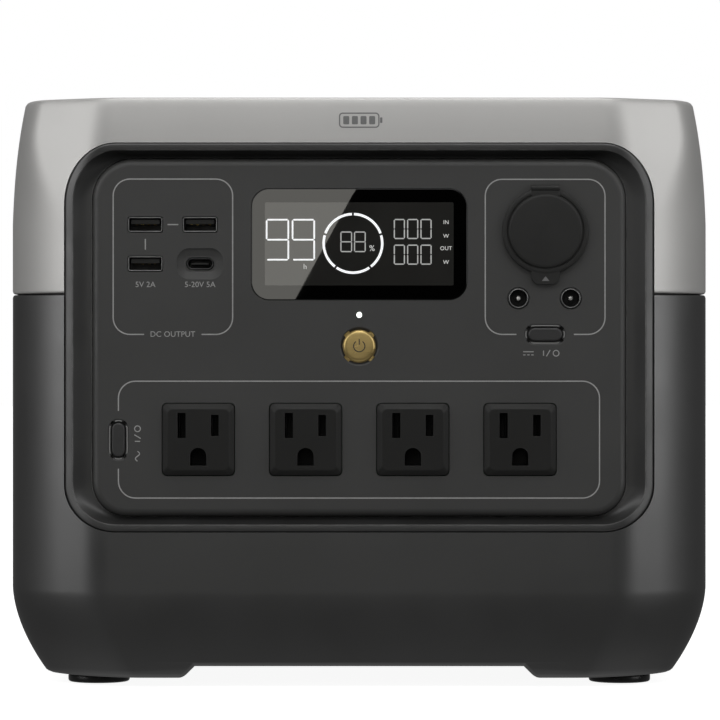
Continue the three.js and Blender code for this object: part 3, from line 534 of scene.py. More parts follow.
def glowing(name, color, strength):
    finish = Finish(name, color, 0.25, Emission_Color=(*color, 1), Emission_Strength=strength)
    finish.mottle(300, 0.05).grain(900, 0.005, 0.1)
    return finish.material


def circuit_board(name):
    """Green solder mask over copper areas that show as a lighter tone."""
    finish = Finish(name, (0.012, 0.11, 0.035), 0.35, Coat_Weight=0.3)
    tracks = finish.node("ShaderNodeTexBrick", Scale=90.0)
    finish.link(finish.place, tracks.inputs["Vector"])
    tracks.inputs["Color1"].default_value = (0.012, 0.11, 0.035, 1)
    tracks.inputs["Color2"].default_value = (0.02, 0.15, 0.05, 1)
    tracks.inputs["Mortar"].default_value = (0.008, 0.07, 0.022, 1)
    finish.link(tracks.outputs["Color"], finish.shader.inputs["Base Color"])
    finish.patchy_gloss(90, 0.25, 0.5).grain(500, 0.03, 0.3)
    return finish.material


def grey(tone):
    return (tone, tone, tone)


LIGHT_CASE = moulded(
    "light_case_plastic", (0.42, 0.415, 0.405), 0.42, 0.012, mottle=0.015, metallic=0.5, patches=0.25
)
DARK_CASE = moulded("dark_case_plastic", (0.008, 0.008, 0.0077), 0.38, worn=grey(0.02), ior=1.9, patches=0.4)
BEZEL_PLASTIC = moulded("bezel_plastic", (0.015, 0.015, 0.0146), 0.38, worn=(0.16, 0.16, 0.157), ior=1.65)
PANEL_PLASTIC = moulded("panel_plastic", (0.035, 0.035, 0.034), 0.5, 0.03, worn=grey(0.05))
OUTLET_PLASTIC = moulded("outlet_plastic", (0.0105, 0.0105, 0.0098), 0.5, worn=grey(0.02), ior=1.33)
BUTTON_PLASTIC = moulded("button_plastic", grey(0.022), 0.4, worn=grey(0.05))
# Lighter grey for the rings round the bar buttons: a painted highlight for the light caught by the recess's
# sloped edge.
BUTTON_RIM_HIGHLIGHT = moulded("button_rim_painted_highlight", (0.15, 0.15, 0.147), 0.4)
BLACK_PLASTIC = moulded("black_plastic", grey(0.01), 0.45, worn=grey(0.03))
COVER_RUBBER = rubber("cover_rubber", (0.009, 0.009, 0.0083), 0.6, 0.02)
FOOT_RUBBER = rubber("foot_rubber", grey(0.008), 0.32)
LENS_PLASTIC = glossy("lens_plastic", grey(0.0008), 0.008)
SCREEN_GLASS = glossy("screen_glass", (0.018, 0.0178, 0.0164), 0.008, 1.51)
PLATED = metal("plated_metal", (0.62, 0.62, 0.6), 0.28)
PORT_METAL = metal("port_metal", (0.2, 0.2, 0.197), 0.4)
DARK_METAL = metal("dark_metal", grey(0.05), 0.45)
GOLD = metal("gold_metal", (0.5, 0.37, 0.15), 0.34, (1, 1, 12))
CONTACT_GOLD = metal("contact_gold", (0.75, 0.55, 0.2), 0.25)
STEEL = metal("screw_steel", (0.42, 0.42, 0.43), 0.3)
SHEET_STEEL = metal("sheet_steel", (0.55, 0.56, 0.58), 0.38, (1, 14, 1))
ALLOY = metal("heat_sink_alloy", (0.6, 0.61, 0.62), 0.42, (1, 20, 1))
INK_GREY = printed("grey_ink", (0.29, 0.29, 0.285))
INK_DARK = printed("dark_ink", (0.03, 0.025, 0.018))
INK_CASE = printed("case_ink", grey(0.12))
DIGIT_GLOW = glowing("digit_glow", (0.8, 0.81, 0.82), 0.48)
DIM_GLOW = glowing("dim_digit_glow", (0.36, 0.36, 0.355), 0.38)
WORD_GLOW = glowing("word_glow", (0.5, 0.5, 0.49), 0.5)
STATUS_GLOW = glowing("status_glow", (1.0, 1.0, 0.98), 1.6)
BOARD = circuit_board("circuit_board")
CELL_FILM = glossy("cell_film", (0.03, 0.1, 0.26), 0.3)
WINDING = rubber("winding_tape", (0.3, 0.14, 0.03), 0.4)
CABLE_RUBBER = rubber("cable_rubber", (0.42, 0.03, 0.02), 0.45)

SLOT_MATERIALS = {
    "light_case": LIGHT_CASE,
    "dark_case": DARK_CASE,
    "bezel": BEZEL_PLASTIC,
    "panel": PANEL_PLASTIC,
    "lens": LENS_PLASTIC,
    "module": BLACK_PLASTIC,
    "light": STATUS_GLOW,
    "plated": PLATED,
    "black": BLACK_PLASTIC,
    "outlet": OUTLET_PLASTIC,
    "gold": GOLD,
    "button": BUTTON_PLASTIC,
    "rubber": FOOT_RUBBER,
    "board": BOARD,
    "sheet": SHEET_STEEL,
    "cell": CELL_FILM,
    "alloy": ALLOY,
    "winding": WINDING,
    "cable": CABLE_RUBBER,
    "steel": STEEL,
}


def dress_cad_nodes():
    """Gives every CAD node its slot's material."""
    slots = {entry["node"]: entry["material_slot"] for entry in frame["record"]["subparts"]}
    for name, obj in frame["nodes"].items():
        material = SLOT_MATERIALS[slots[name]]
        if not obj.material_slots:
            obj.data.materials.append(material)
        for slot in obj.material_slots:
            slot.material = material


# ---- The case ----


def front_y(x):
    beyond = abs(x) - FACET_START
    slope = math.tan(FACET_ANGLE)
    if beyond <= -FACET_BLEND:
        return FRONT
    if beyond >= FACET_BLEND:
        return FRONT + beyond * slope
    return FRONT + (beyond + FACET_BLEND) ** 2 / (4 * FACET_BLEND) * slope


def plan_outline(rear, rear_radius, blend_steps=6, turn_steps=14, rear_steps=12, crisp=0.0):
    """The case seen from above, from the front right round to the front left.

    Crisp runs from 0, a facet that curves into the side, to 1, a flat one with a tighter edge.
    """
    edge_start = 113 + 13 * crisp
    right = []
    for i in range(blend_steps + 1):
        x = FACET_START + FACET_BLEND * (2 * i / blend_steps - 1)
        right.append((x, front_y(x)))
    start, corner, end = (edge_start, front_y(edge_start)), (HALF, front_y(HALF)), (HALF, EDGE_END)
    handles = [
        Vector(start).lerp(Vector(corner), 0.35 + 0.27 * crisp),
        Vector(end).lerp(Vector(corner), 0.7 - 0.08 * crisp),
    ]
    right += [tuple(point) for point in bezier([start, *handles, end], turn_steps)]
    for i in range(rear_steps + 1):
        angle = math.pi / 2 * i / rear_steps
        x = HALF - rear_radius + rear_radius * math.cos(angle)
        right.append((x, rear - rear_radius + rear_radius * math.sin(angle)))
    return right + [(-x, y) for x, y in reversed(right)]


def inset_outline(outline, distance):
    count = len(outline)
    points = [Vector(p) for p in outline]
    inner = []
    for i, point in enumerate(points):
        before = (point - points[i - 1]).normalized()
        after = (points[(i + 1) % count] - point).normalized()
        normal_before = Vector((-before.y, before.x))
        middle = (normal_before + Vector((-after.y, after.x))).normalized()
        inner.append(tuple(point + middle * distance / middle.dot(normal_before)))
    return inner


def station_ring(outline, z, half, ends):
    across = half / HALF
    along = 1 - ends / (CORE_MIDDLE - FRONT)
    return [(x * across, CORE_MIDDLE + (y - CORE_MIDDLE) * along, z) for x, y in outline]


def case_loft(outline, stations):
    return loft([station_ring(outline, *station) for station in stations])


def upper_loft(rear, rear_radius):
    """The upper shell's outside; its facets flatten and its edges tighten towards the top."""
    rings = []
    crisp_from, crisp_over = 176, 40
    for station in upper_stations():
        share = min(max((station[0] - crisp_from) / crisp_over, 0), 1)
        crisp = share * share * (3 - 2 * share)
        rings.append(station_ring(plan_outline(rear, rear_radius, rear_steps=18, crisp=crisp), *station))
    return loft(rings)


def bezier(points, steps):
    """Points along a Bezier curve of any degree."""
    curve = []
    for i in range(steps + 1):
        layer = [Vector(p) for p in points]
        while len(layer) > 1:
            layer = [a.lerp(b, i / steps) for a, b in zip(layer, layer[1:])]
        curve.append(layer[0])
    return curve


def lower_stations():
    """(z, half width, drawn in at the ends) from the underside to the seam."""
    stations = [(CASE_BOTTOM, 117.2, 9.8), (CASE_BOTTOM + 0.1, 118.6, 8.9), (CASE_BOTTOM + 0.4, 120.2, 7.9)]
    stations.append((CASE_BOTTOM + 0.95, 121.5, 7.1))
    turn_under = bezier([(122.4, 5.2), (127.5, 12.5), (134.4, 25), (HALF, 37.2)], 16)
    stations += [(p.y, p.x, (HALF - p.x) / 2) for p in turn_under]
    stations += [(SEAM_LOW - 1.1, HALF, 0), (SEAM_LOW - 0.35, HALF - 0.25, 0.2), (SEAM_LOW, HALF - 0.7, 0.6)]
    return stations


def lean(z):
    """How far the front has leaned back at height z."""
    return (max(z - LEAN_START, 0) / (TOP_EDGE - LEAN_START)) ** 2 * LEAN


def upper_stations():
    stations = [(SEAM_TOP, HALF - 0.7, 0.6), (SEAM_TOP + 0.35, HALF - 0.25, 0.2), (SEAM_TOP + 1.1, HALF, 0)]
    for point in bezier([(HALF, SHOULDER), (134.3, 202), (TOP_HALF, TOP_EDGE)], 14)[:-1]:
        stations.append((point.y, point.x, lean(point.y)))
    fillet = [(0, TOP_HALF, 0), (1.8, 130.05, 0.3), (2.9, 129.3, 0.65), (3.35, 128.5, 1.15)]
    fillet.append((HEIGHT - TOP_EDGE, 127.4, 2.0))
    return stations + [(TOP_EDGE + rise, half, LEAN + ends) for rise, half, ends in fillet]


def grip_loop(margin=0, steps=10):
    depth = GRIP_REAR - CORE_REAR + 2 * margin
    width = 2 * (GRIP_HALF + margin)
    return rounded_loop(width, depth, GRIP_RADIUS + margin, 0, (GRIP_REAR + CORE_REAR) / 2, steps)


def column(loop, z0, z1):
    """A loop of (x, y) points given height."""
    return loft([[(x, y, z) for x, y in loop] for z in (z0, z1)])


def under_handle():
    """The space behind the rear wall and below the handle."""
    corner = CORE_REAR_RADIUS
    loop = [(HALF + 8, CORE_REAR - corner), (HALF + 8, REAR + 20), (-HALF - 8, REAR + 20)]
    loop += [(-HALF - 8, CORE_REAR - corner)]
    loop += arc(-HALF + corner, CORE_REAR - corner, corner, 180, 90, 12)
    loop += arc(HALF - corner, CORE_REAR - corner, corner, 90, 0, 12)
    block = new_object("under_handle", column(loop, 130, HEIGHT + 4))
    side = [*ARM_LINE, (REAR + 12, 120), (CORE_REAR - 20, 120)]
    below = loft([[(x, y, z) for y, z in side] for x in (-HALF - 20, HALF + 20)])
    carve(block, below, operation="INTERSECT")
    return as_form(block)


def as_form(obj):
    """A piece's mesh as a form again; the piece is removed."""
    points = [tuple(v.co / MM) for v in obj.data.vertices]
    faces = [list(face.vertices) for face in obj.data.polygons]
    bpy.data.objects.remove(obj)
    return points, faces


def front_opening():
    return slab(frame_loop(BEZEL, -0.16), FRONT - 20, FRONT + 40)


def upper_room():
    outline = inset_outline(plan_outline(CORE_REAR, CORE_REAR_RADIUS, 4, 6, 5), WALL)
    stations = [(SEAM_TOP - 5, HALF, 0), (SHOULDER, HALF, 0), (222, 130.6, 0), (HEIGHT - WALL, 130, 0)]
    return case_loft(outline, stations)


def handle_room():
    outline = inset_outline(plan_outline(REAR, HANDLE_RADIUS, 4, 6, 8), WALL)
    stations = [(150, HALF, 0), (SHOULDER, HALF, 0), (HEIGHT - WALL, 130, 0)]
    room = new_object("room", case_loft(outline, stations))
    behind = box_form((-HALF, CORE_REAR + WALL, 140), (HALF, REAR, HEIGHT))
    carve(room, behind, operation="INTERSECT")
    carve(room, column(grip_loop(WALL), 140, HEIGHT + 5))
    return as_form(room)


def input_hole():
    low, high = cad("input_panel")
    return box_form((low.x - 0.3, CORE_REAR - 10, low.z - 0.3), (high.x + 0.3, CORE_REAR + 1, high.z + 0.3))


def make_upper_shell():
    shell = new_object("upper_shell_body", upper_loft(REAR, HANDLE_RADIUS))
    carve(shell, under_handle(), column(grip_loop(), SEAM_TOP, HEIGHT + 5))
    carve(shell, upper_room(), handle_room(), front_opening(), input_hole())
    piece("upper_shell_body", shell, LIGHT_CASE, replaces=["upper_shell"], angle=28)


def vent_hole(side):
    low, high = cad("vent_grille_" + side)
    sign = -1 if side == "left" else 1
    x0, x1 = sorted((sign * (HALF - 12), sign * (HALF + 5)))
    loop = rounded_loop(high.y - low.y + 0.6, high.z - low.z + 0.6, 5, 0, (low.z + high.z) / 2, 8)
    return loft([[(x, y, z) for y, z in loop] for x in (x0, x1)])


def make_lower_shell():
    outline = plan_outline(CORE_REAR, CORE_REAR_RADIUS)
    shell = new_object("lower_shell_body", case_loft(outline, lower_stations()))
    coarse = plan_outline(CORE_REAR, CORE_REAR_RADIUS, 4, 6, 5)
    room = case_loft(
        inset_outline(coarse, WALL),
        [(11, 124, 5.5), (20, 130.5, 2.2), (37, HALF, 0), (SEAM_TOP + 5, HALF, 0)],
    )
    edge = CHANNEL_Z - CASE_BOTTOM + 1
    channel = [
        (-CHANNEL_HALF - edge, CASE_BOTTOM - 1),
        (CHANNEL_HALF + edge, CASE_BOTTOM - 1),
        (CHANNEL_HALF, CHANNEL_Z),
        (-CHANNEL_HALF, CHANNEL_Z),
    ]
    cuts = [room, slab(channel, FRONT - 8, REAR), front_opening(), vent_hole("left"), vent_hole("right")]
    for node in FEET:
        middle = centre(node)
        cuts.append(upright(rod(8.4, -2, 2.2, (0, 0, 0), 32), (middle.x, middle.y, CASE_BOTTOM)))
    carve(shell, cuts.pop(1))
    reach = CHANNEL_HALF + edge
    round_edges(shell, 1.6, lambda v: v.y < FRONT + 20 and v.z < CHANNEL_Z + 0.05 and abs(v.x) < reach)
    carve(shell, *cuts)
    piece("lower_shell_body", shell, DARK_CASE, replaces=["lower_shell"], angle=28)


def make_feet():
    for node in FEET:
        middle = centre(node)
        radius = size(node).x / 2
        top = CASE_BOTTOM - 0.25
        profile = [(0, 0.35), (radius - 3.4, 0.35), (radius - 3.1, 0.05), (radius - 1.4, 0)]
        profile += [(radius - 0.7, 0.12), (radius - 0.2, 0.45), (radius, 1.0), (radius, top - 0.8)]
        profile += [(radius - 0.3, top - 0.25), (radius - 1, top), (8, top), (8, 5), (0, 5)]
        form = upright(turned(profile, (0, 0, 0), 72), (middle.x, middle.y, 0))
        piece(node + "_pad", form, FOOT_RUBBER, replaces=[node])


# ---- Bezel and panel ----


def make_bezel():
    """The frame: a lip that follows the case, then a wall down to a valley round the panel."""
    outer = frame_loop(BEZEL)
    lip = frame_loop(BEZEL_LIP)
    inner = frame_loop(PANEL, -0.3)
    valley = PANEL_Y + 3.4

    def follow(loop, lift):
        return [(x, front_y(x) + lift, z) for x, z in loop]

    rings = [follow(outer, 6), follow(outer, 1.0)]
    crown = [(0.015, 0.7), (0.06, 0.42), (0.12, 0.2), (0.19, 0.07), (0.28, 0), (0.5, 0)]
    crown += [(0.86, 0.04), (0.95, 0.14), (1, 0.36)]
    for share, lift in crown:
        rings.append(follow(between(outer, lip, share), lift))
    start = follow(lip, 0.7)
    end = at_depth(inner, valley)
    for share in (0, 0.25, 0.5, 0.75, 1):
        fall = 1 - (1 - share) ** 2
        rings.append(
            [
                (a[0] + (b[0] - a[0]) * share, a[1] + (b[1] - a[1]) * fall, a[2] + (b[2] - a[2]) * share)
                for a, b in zip(start, end)
            ]
        )
    rings.append(at_depth(inner, valley + 4.4))
    bezel_form = loft(rings, closed=True)
    piece("front_bezel_frame", bezel_form, BEZEL_PLASTIC, replaces=["front_bezel"])


def dish(width, height, radius, narrow, depth, x, z, steps=10, wall=0.0):
    """A recess that narrows behind the surface, with a rounded mouth or a short upright wall."""
    mouth = [(0, -1), (0, wall)] if wall else [(-0.5, -1), (-0.5, -0.02), (-0.2, 0.06), (0, 0.22)]
    rings = []
    for inset, y in (*mouth, (narrow / 2, depth)):
        loop = rounded_loop(width - 2 * inset, height - 2 * inset, radius - inset, x, z, steps)
        rings.append(at_depth(loop, PANEL_Y + y))
    return loft(rings)


def stadium(width, height, x, z, front, back, steps=12):
    return plate(width, height, min(width, height) / 2 - 0.001, x, z, front, back, steps)


def notch(x, z, angle, inner, outer, width):
    """A narrow slot cut outward from a button's edge."""
    direction = Vector((math.cos(math.radians(angle)), math.sin(math.radians(angle))))
    across = Vector((-direction.y, direction.x)) * width / 2
    middle = Vector((x, z))
    loop = [
        tuple(middle + direction * inner - across),
        tuple(middle + direction * outer - across),
        tuple(middle + direction * outer + across),
        tuple(middle + direction * inner + across),
    ]
    return slab(loop, PANEL_Y - 1, PANEL_Y + 5)


def panel_cuts():
    front, back = PANEL_Y - 2, PANEL_Y + 9
    cuts = []
    lens, lens_size = centre("display_lens"), size("display_lens")
    cuts.append(plate(lens_size.x + 0.2, lens_size.z + 0.2, 7, lens.x, lens.z, front, back, 14))
    for node in USB_A:
        middle = centre(node)
        cuts.append(plate(13.6, 6.2, 0.9, middle.x, middle.z, front, back, 5))
    middle = centre("usb_c_port")
    cuts.append(dish(17.9, 12, 5, 6.0, 1.4, middle.x, middle.z, wall=0.55))
    cuts.append(stadium(10.8, 5, middle.x, middle.z, front, back))
    for node, radius in ROUND_HOLES.items():
        middle = centre(node)
        cuts.append(rod(radius, -3, 9, (middle.x, PANEL_Y, middle.z), 64))
    power = centre("power_button")
    cuts.append(rod(6.35, -3, 9, (power.x, PANEL_Y, power.z), 72))
    cuts.append(dish(14.2, 14.2, 7.1, 1.3, 1.2, power.x, power.z, 18))
    cuts += [notch(power.x, power.z, angle, 5.5, 7.3, 2.6) for angle in (45, 135, 225, 315)]
    for node in ("dc_button", "ac_button"):
        middle = centre(node)
        width, height = BUTTON_SIZES[node]
        cuts.append(stadium(width + 0.5, height + 0.5, middle.x, middle.z, front, back))
        radius = min(width, height) / 2 + 1.15
        cuts.append(dish(width + 2.5, height + 2.3, radius, 1.9, 0.75, middle.x, middle.z))
        reach_x, reach_z = width / 2 - 1.2, height / 2 - 1.2
        for sx in (-1, 1):
            for sz in (-1, 1):
                place = (middle.x + sx * reach_x, middle.z + sz * reach_z)
                cuts.append(notch(*place, math.degrees(math.atan2(sz, sx)), 0.4, 2.1, 1.5))
    for node in OUTLETS:
        middle = centre(node)
        cuts.append(plate(28.1, 28.1, 2.0, middle.x, middle.z, front, back, 6))
    return cuts


def make_panel():
    rings = [at_depth(frame_loop(PANEL), PANEL_Y + 6.5)]
    steps = 8
    for i in range(steps + 1):
        angle = math.pi / 2 * i / steps
        inset = 2.8 * (1 - math.cos(angle))
        rings.append(at_depth(frame_loop(PANEL, inset), PANEL_Y + 2.6 * (1 - math.sin(angle))))
    pocket = loft([at_depth(frame_loop(PANEL, 3.4, 8), y) for y in (PANEL_Y + 2.9, PANEL_Y + 9)])
    panel = new_object("front_panel_face", loft(rings))
    carve(panel, pocket, *panel_cuts())
    piece("front_panel_face", panel, PANEL_PLASTIC, CASE, ["front_panel"], bevel=0.16, flats=True)


# ---- Ports, sockets and outlets ----


def port_shell(outer, wall, x, z, front, back, steps=5):
    """A thin metal sleeve with a rolled front edge."""
    width, height, radius = outer
    places = [(0, back), (0, front + wall / 2), (wall * 0.15, front + wall * 0.15), (wall / 2, front)]
    places += [(wall * 0.85, front + wall * 0.15), (wall, front + wall / 2), (wall, back)]
    rings = []
    for inset, y in places:
        size_and_radius = (width - 2 * inset, height - 2 * inset, max(radius - inset, 0.05))
        rings.append(at_depth(rounded_loop(*size_and_radius, x, z, steps), y))
    return loft(rings, closed=True)


def make_usb_shell(node, outer, rim_wall, rim_material, inset, proud, back_half, steps):
    """The metal sleeve of a USB port, its closed back and its rim."""
    middle, (low, high) = centre(node), cad(node)
    x, z = middle.x, middle.z
    across, up = back_half
    sleeve = port_shell(outer, 0.4, x, z, low.y + inset, high.y, steps)
    back = box_form((x - across, high.y - 1.5, z - up), (x + across, high.y, z + up))
    piece(node + "_sleeve", merge(sleeve, back), DARK_METAL, replaces=[node])
    larger = (outer[0] + 0.1, outer[1] + 0.1, outer[2] + 0.05)
    rim = port_shell(larger, rim_wall, x, z, low.y - proud, low.y + 0.5, steps)
    piece(node + "_rim", rim, rim_material)
    return x, z, low.y, high.y


def make_usb_a(node):
    x, z, front, back = make_usb_shell(node, (12.9, 5.4, 0.8), 0.24, PORT_METAL, 0.2, 0.02, (6.2, 2.5), 5)
    tongue = pad(11.1, 1.9, 0.25, x, z + 1.05, front + 0.9, back - 1, 0.25, 3, 3)
    piece(node + "_tongue", tongue, OUTLET_PLASTIC)
    contacts = [
        box_form((x + dx - 0.5, front + 3.5, z + 0.02), (x + dx + 0.5, back - 2, z + 0.12))
        for dx in (-3.5, -1.2, 1.2, 3.5)
    ]
    piece(node + "_contacts", merge(*contacts), CONTACT_GOLD)


def make_usb_c(node="usb_c_port"):
    x, z, front, back = make_usb_shell(node, (10.0, 4.2, 2.1), 0.26, DARK_METAL, 0.1, 0.05, (4, 1.9), 10)
    tongue = pad(6.7, 0.8, 0.3, x, z, front + 0.7, back - 1, 0.2, 4, 3)
    piece(node + "_tongue", tongue, OUTLET_PLASTIC)


def make_barrel_jack(node):
    middle, (low, high) = centre(node), cad(node)
    front = low.y - 0.05
    place = (middle.x, front, middle.z)
    profile = [(0, 10), (3.25, 10), (3.25, 0.35), (3.35, 0.1), (3.55, 0), (3.8, 0.02), (4, 0.2)]
    profile += [(4, high.y - front), (0, high.y - front)]
    body = turned(profile, place, 64)
    piece(node + "_body", body, BLACK_PLASTIC, replaces=[node])
    lip = [(3.3, 0.1), (3.38, -0.05), (3.5, -0.08), (3.62, -0.02), (3.66, 0.3), (3.3, 0.3), (3.3, 0.1)]
    piece(node + "_rim", turned(lip, place, 64), PORT_METAL)
    pin = turned([(0, 1.3), (0.7, 1.35), (1.05, 1.8), (1.05, 10.5), (0, 10.5)], place, 32)
    piece(node + "_pin", pin, PLATED)


def make_outlet(node):
    """One three-pin outlet: a raised square with sloped sides, two blade slots and a ground hole."""
    middle, (low, high) = centre(node), cad(node)
    x, z = middle.x, middle.z
    side = size(node).x - 0.4
    steps = [(1, high.y - low.y), (1, 6.2), (0, 6), (0, 2.2), (0.06, 1.95), (0.2, 1.75)]
    rings = []
    for inset, y in steps + [(1.85, 0.2), (2.05, 0.05), (2.35, 0)]:
        width = side - 2 * inset
        rings.append(at_depth(rounded_loop(width, width, 1.9, x, z, 6), low.y + y))
    body = new_object(node + "_body", loft(rings))
    blade, blade_z = 12.7 / 2, z + 5.35
    back = low.y + 15.5
    ground = [(x - 3.1, z - 10), (x + 3.1, z - 10), *arc(x, z - 6.3, 3.1, 0, 180, 20)]
    carve(
        body,
        plate(3.1, 9.6, 0.3, x - blade, blade_z, low.y - 1, back, 3),
        plate(2.9, 8.1, 0.3, x + blade, blade_z, low.y - 1, back, 3),
        slab(ground, low.y - 1, back),
    )
    piece(node + "_body", body, OUTLET_PLASTIC, replaces=[node], bevel=0.18, flats=True)
    leaves = []
    for dx, height in ((-blade, 9.0), (blade, 7.5)):
        for shift in (-1.15, 1.15):
            leaves.append(pad(0.5, height, 0.1, x + dx + shift, blade_z, low.y + 9, back, 0.2, 2, 2))
    piece(node + "_contacts", merge(*leaves), DARK_METAL)


def make_car_socket(node="car_socket"):
    """A deep sleeve with a rolled metal mouth and a sprung contact at its far end."""
    middle, (low, high) = centre(node), cad(node)
    place = (middle.x, low.y, middle.z)
    depth = high.y - low.y
    bore, body, flange = 10.6, 12.1, size(node).x / 2
    profile = [(0, depth - 2.2), (bore, depth - 2.2), (bore, 0.5), (bore + 0.2, 0.2), (body, 0.2)]
    profile += [(body, 2.9), (flange, 2.9), (flange, 4.8), (body, 4.8), (body, depth), (0, depth)]
    piece("car_socket_sleeve", turned(profile, place, 96), DARK_METAL, replaces=[node])
    mouth = [(bore - 0.1, 0.6), (bore - 0.05, 0.25), (bore + 0.2, 0.05), (bore + 0.6, 0), (bore + 1.1, 0.02)]
    mouth += [(body - 0.1, 0.15), (body - 0.1, 0.6), (bore - 0.1, 0.6)]
    piece("car_socket_mouth", turned(mouth, place, 96), PORT_METAL)
    ribs = []
    for angle in (0, math.pi):
        path = [(middle.x + r * math.cos(angle), middle.z + r * math.sin(angle)) for r in (9.9, 10.8)]
        ribs.append(ribbon(path, 1.6, low.y + 12, low.y + 26))
    spring = [(0, depth - 10), (2.2, depth - 9.8), (2.9, depth - 9), (2.9, depth - 2), (0, depth - 2)]
    contact = turned(spring, place, 48)
    piece("car_socket_contacts", merge(contact, *ribs), PLATED)


def make_socket_cover(node="car_socket_cover"):
    """A rubber disc with a raised middle, a hinge strap above and a pull tab below."""
    socket = centre("car_socket")
    low, high = cad(node)
    x, z = socket.x, socket.z
    surface = PANEL_Y
    profile = [(0, 3), (8.5, 3), (9.1, 2.5), (9.1, -0.35), (16.2, -0.35), (16.5, -0.65), (16.5, -1.55)]
    profile += [(16.35, -1.85), (16.0, -2.02), (15.2, -2.08), (14.75, -2.0), (14.5, -1.75), (14.3, -1.75)]
    profile += [(14.1, -2.1), (13.95, -2.6), (13.6, -2.82), (12.9, -2.88), (0, -2.9)]
    disc = turned(profile, (x, surface, z), 128)
    hinge_z = high.z - 1.25
    strap_z = (hinge_z + z + 12) / 2 + 0.6
    strap = pad(10.8, hinge_z - z - 12 + 1.2, 0.9, x, strap_z, surface - 2.3, surface - 0.35, 0.5, 5, 4)
    angles = [math.tau * i / 20 for i in range(20)]
    section = [(surface - 1.6 - 1.25 * math.cos(a), hinge_z + 1.25 * math.sin(a)) for a in angles]
    roll = [[(x + dx, y, roll_z) for y, roll_z in section] for dx in (-5.4, -5.1, 5.1, 5.4)]
    left = [(-5.4, z - 11), (-5.4, low.z + 2.6), (-4.9, low.z + 1.4), (-3.9, low.z + 0.3), (-3.3, low.z)]
    tab_loop = [(x + dx, tab_z) for dx, tab_z in left]
    tab_loop += [(x - dx, tab_z) for dx, tab_z in reversed(left)]
    tab = slab(tab_loop, surface - 1.9, surface - 0.35)
    cover = merge(disc, strap, loft(roll), tab)
    piece("socket_cover_disc", cover, COVER_RUBBER, "socket_cover", [node], bevel=0.15)
    mark_z = low.z + 2.1
    triangle = [(x - 1.45, mark_z - 0.9), (x + 1.45, mark_z - 0.9), (x, mark_z + 0.9)]
    mark = slab(triangle, surface - 1.98, surface - 1.8)
    piece("socket_cover_mark", mark, INK_CASE, "socket_cover")


# ---- Buttons ----


def make_power_button(node="power_button"):
    middle, (low, high) = centre(node), cad(node)
    x, z, front = middle.x, middle.z, low.y
    profile = [(0, -0.05), (3, -0.02), (4.6, 0.0), (5.3, 0.06), (5.75, 0.25), (6, 0.6), (6, 3.4), (7.2, 3.4)]
    profile += [(7.2, 4.3), (1.8, 4.3), (1.8, high.y - front), (0, high.y - front)]
    piece("power_button_cap", turned(profile, (x, front, z), 96), GOLD, node, [node])
    ring = ribbon(arc(x, z, 2.15, 125, 415, 40), 0.42, front - 0.08, front + 0.06)
    bar = ribbon([(x, z + 0.5), (x, z + 2.7)], 0.42, front - 0.08, front + 0.06)
    piece("power_button_icon", merge(ring, bar), INK_DARK, node)


def make_bar_button(node):
    middle, (low, high) = centre(node), cad(node)
    width, height = BUTTON_SIZES[node]
    x, z, front = middle.x, middle.z, low.y
    cap = pad(width, height, min(width, height) / 2, x, z, front, front + 4.4, 0.7, 14, 6)
    flange = pad(width + 2.4, height + 2.4, 2.5, x, z, front + 3.8, front + 4.8, 0.1, 4, 2)
    stem = rod(1.8, 4, high.y - front, (x, front, z), 24)
    piece(node + "_cap", merge(cap, flange, stem), BUTTON_PLASTIC, node, [node])
    # A thin light grey ring with gaps at the corners: a painted highlight standing in for the recess edge
    # catching light.
    rim = rounded_loop(width + 1.7, height + 1.7, min(width, height) / 2 + 0.85, x, z, 16)
    run, runs = [], []
    for point in rim + rim[:1]:
        away = Vector((abs(point[0] - x) - width / 2 + 0.6, abs(point[1] - z) - height / 2 + 0.6))
        if away.length < 1.15:
            runs.append(run)
            run = []
        else:
            run.append(point)
    runs.append(run)
    highlight_arcs = [ribbon(path, 0.48, PANEL_Y - 0.03, PANEL_Y + 1) for path in runs if len(path) > 1]
    piece(node + "_rim", merge(*highlight_arcs), BUTTON_RIM_HIGHLIGHT)


# ---- Display ----


SEGMENTS = {"0": "abcdef", "8": "abcdefg", "9": "abcdfg"}


def digit(char, x, z, width, height, thick, front, back):
    """A seven-segment digit whose lower left corner is at x, z."""
    right, top, middle = x + width, z + height, z + height / 2
    half, gap = thick / 2, thick * 0.18

    def bar(x0, z0, x1, z1):
        if abs(x1 - x0) > abs(z1 - z0):
            a, b = x0 + half + gap, x1 - half - gap
            loop = [(a - half, z0), (a, z0 - half), (b, z0 - half)]
            loop += [(b + half, z0), (b, z0 + half), (a, z0 + half)]
        else:
            a, b = z0 + half + gap, z1 - half - gap
            loop = [(x0, a - half), (x0 + half, a), (x0 + half, b)]
            loop += [(x0, b + half), (x0 - half, b), (x0 - half, a)]
        return slab(loop, front, back)

    left_x, right_x, low_z, high_z = x + half, right - half, z + half, top - half
    places = {
        "a": (left_x, high_z, right_x, high_z),
        "g": (left_x, middle, right_x, middle),
        "d": (left_x, low_z, right_x, low_z),
        "f": (left_x, middle, left_x, high_z),
        "e": (left_x, low_z, left_x, middle),
        "b": (right_x, middle, right_x, high_z),
        "c": (right_x, low_z, right_x, middle),
    }
    return merge(*(bar(*places[s]) for s in SEGMENTS[char]))


def digits(text, x, z, width, height, thick, pitch, front, back):
    return merge(*(digit(c, x + i * pitch, z, width, height, thick, front, back) for i, c in enumerate(text)))


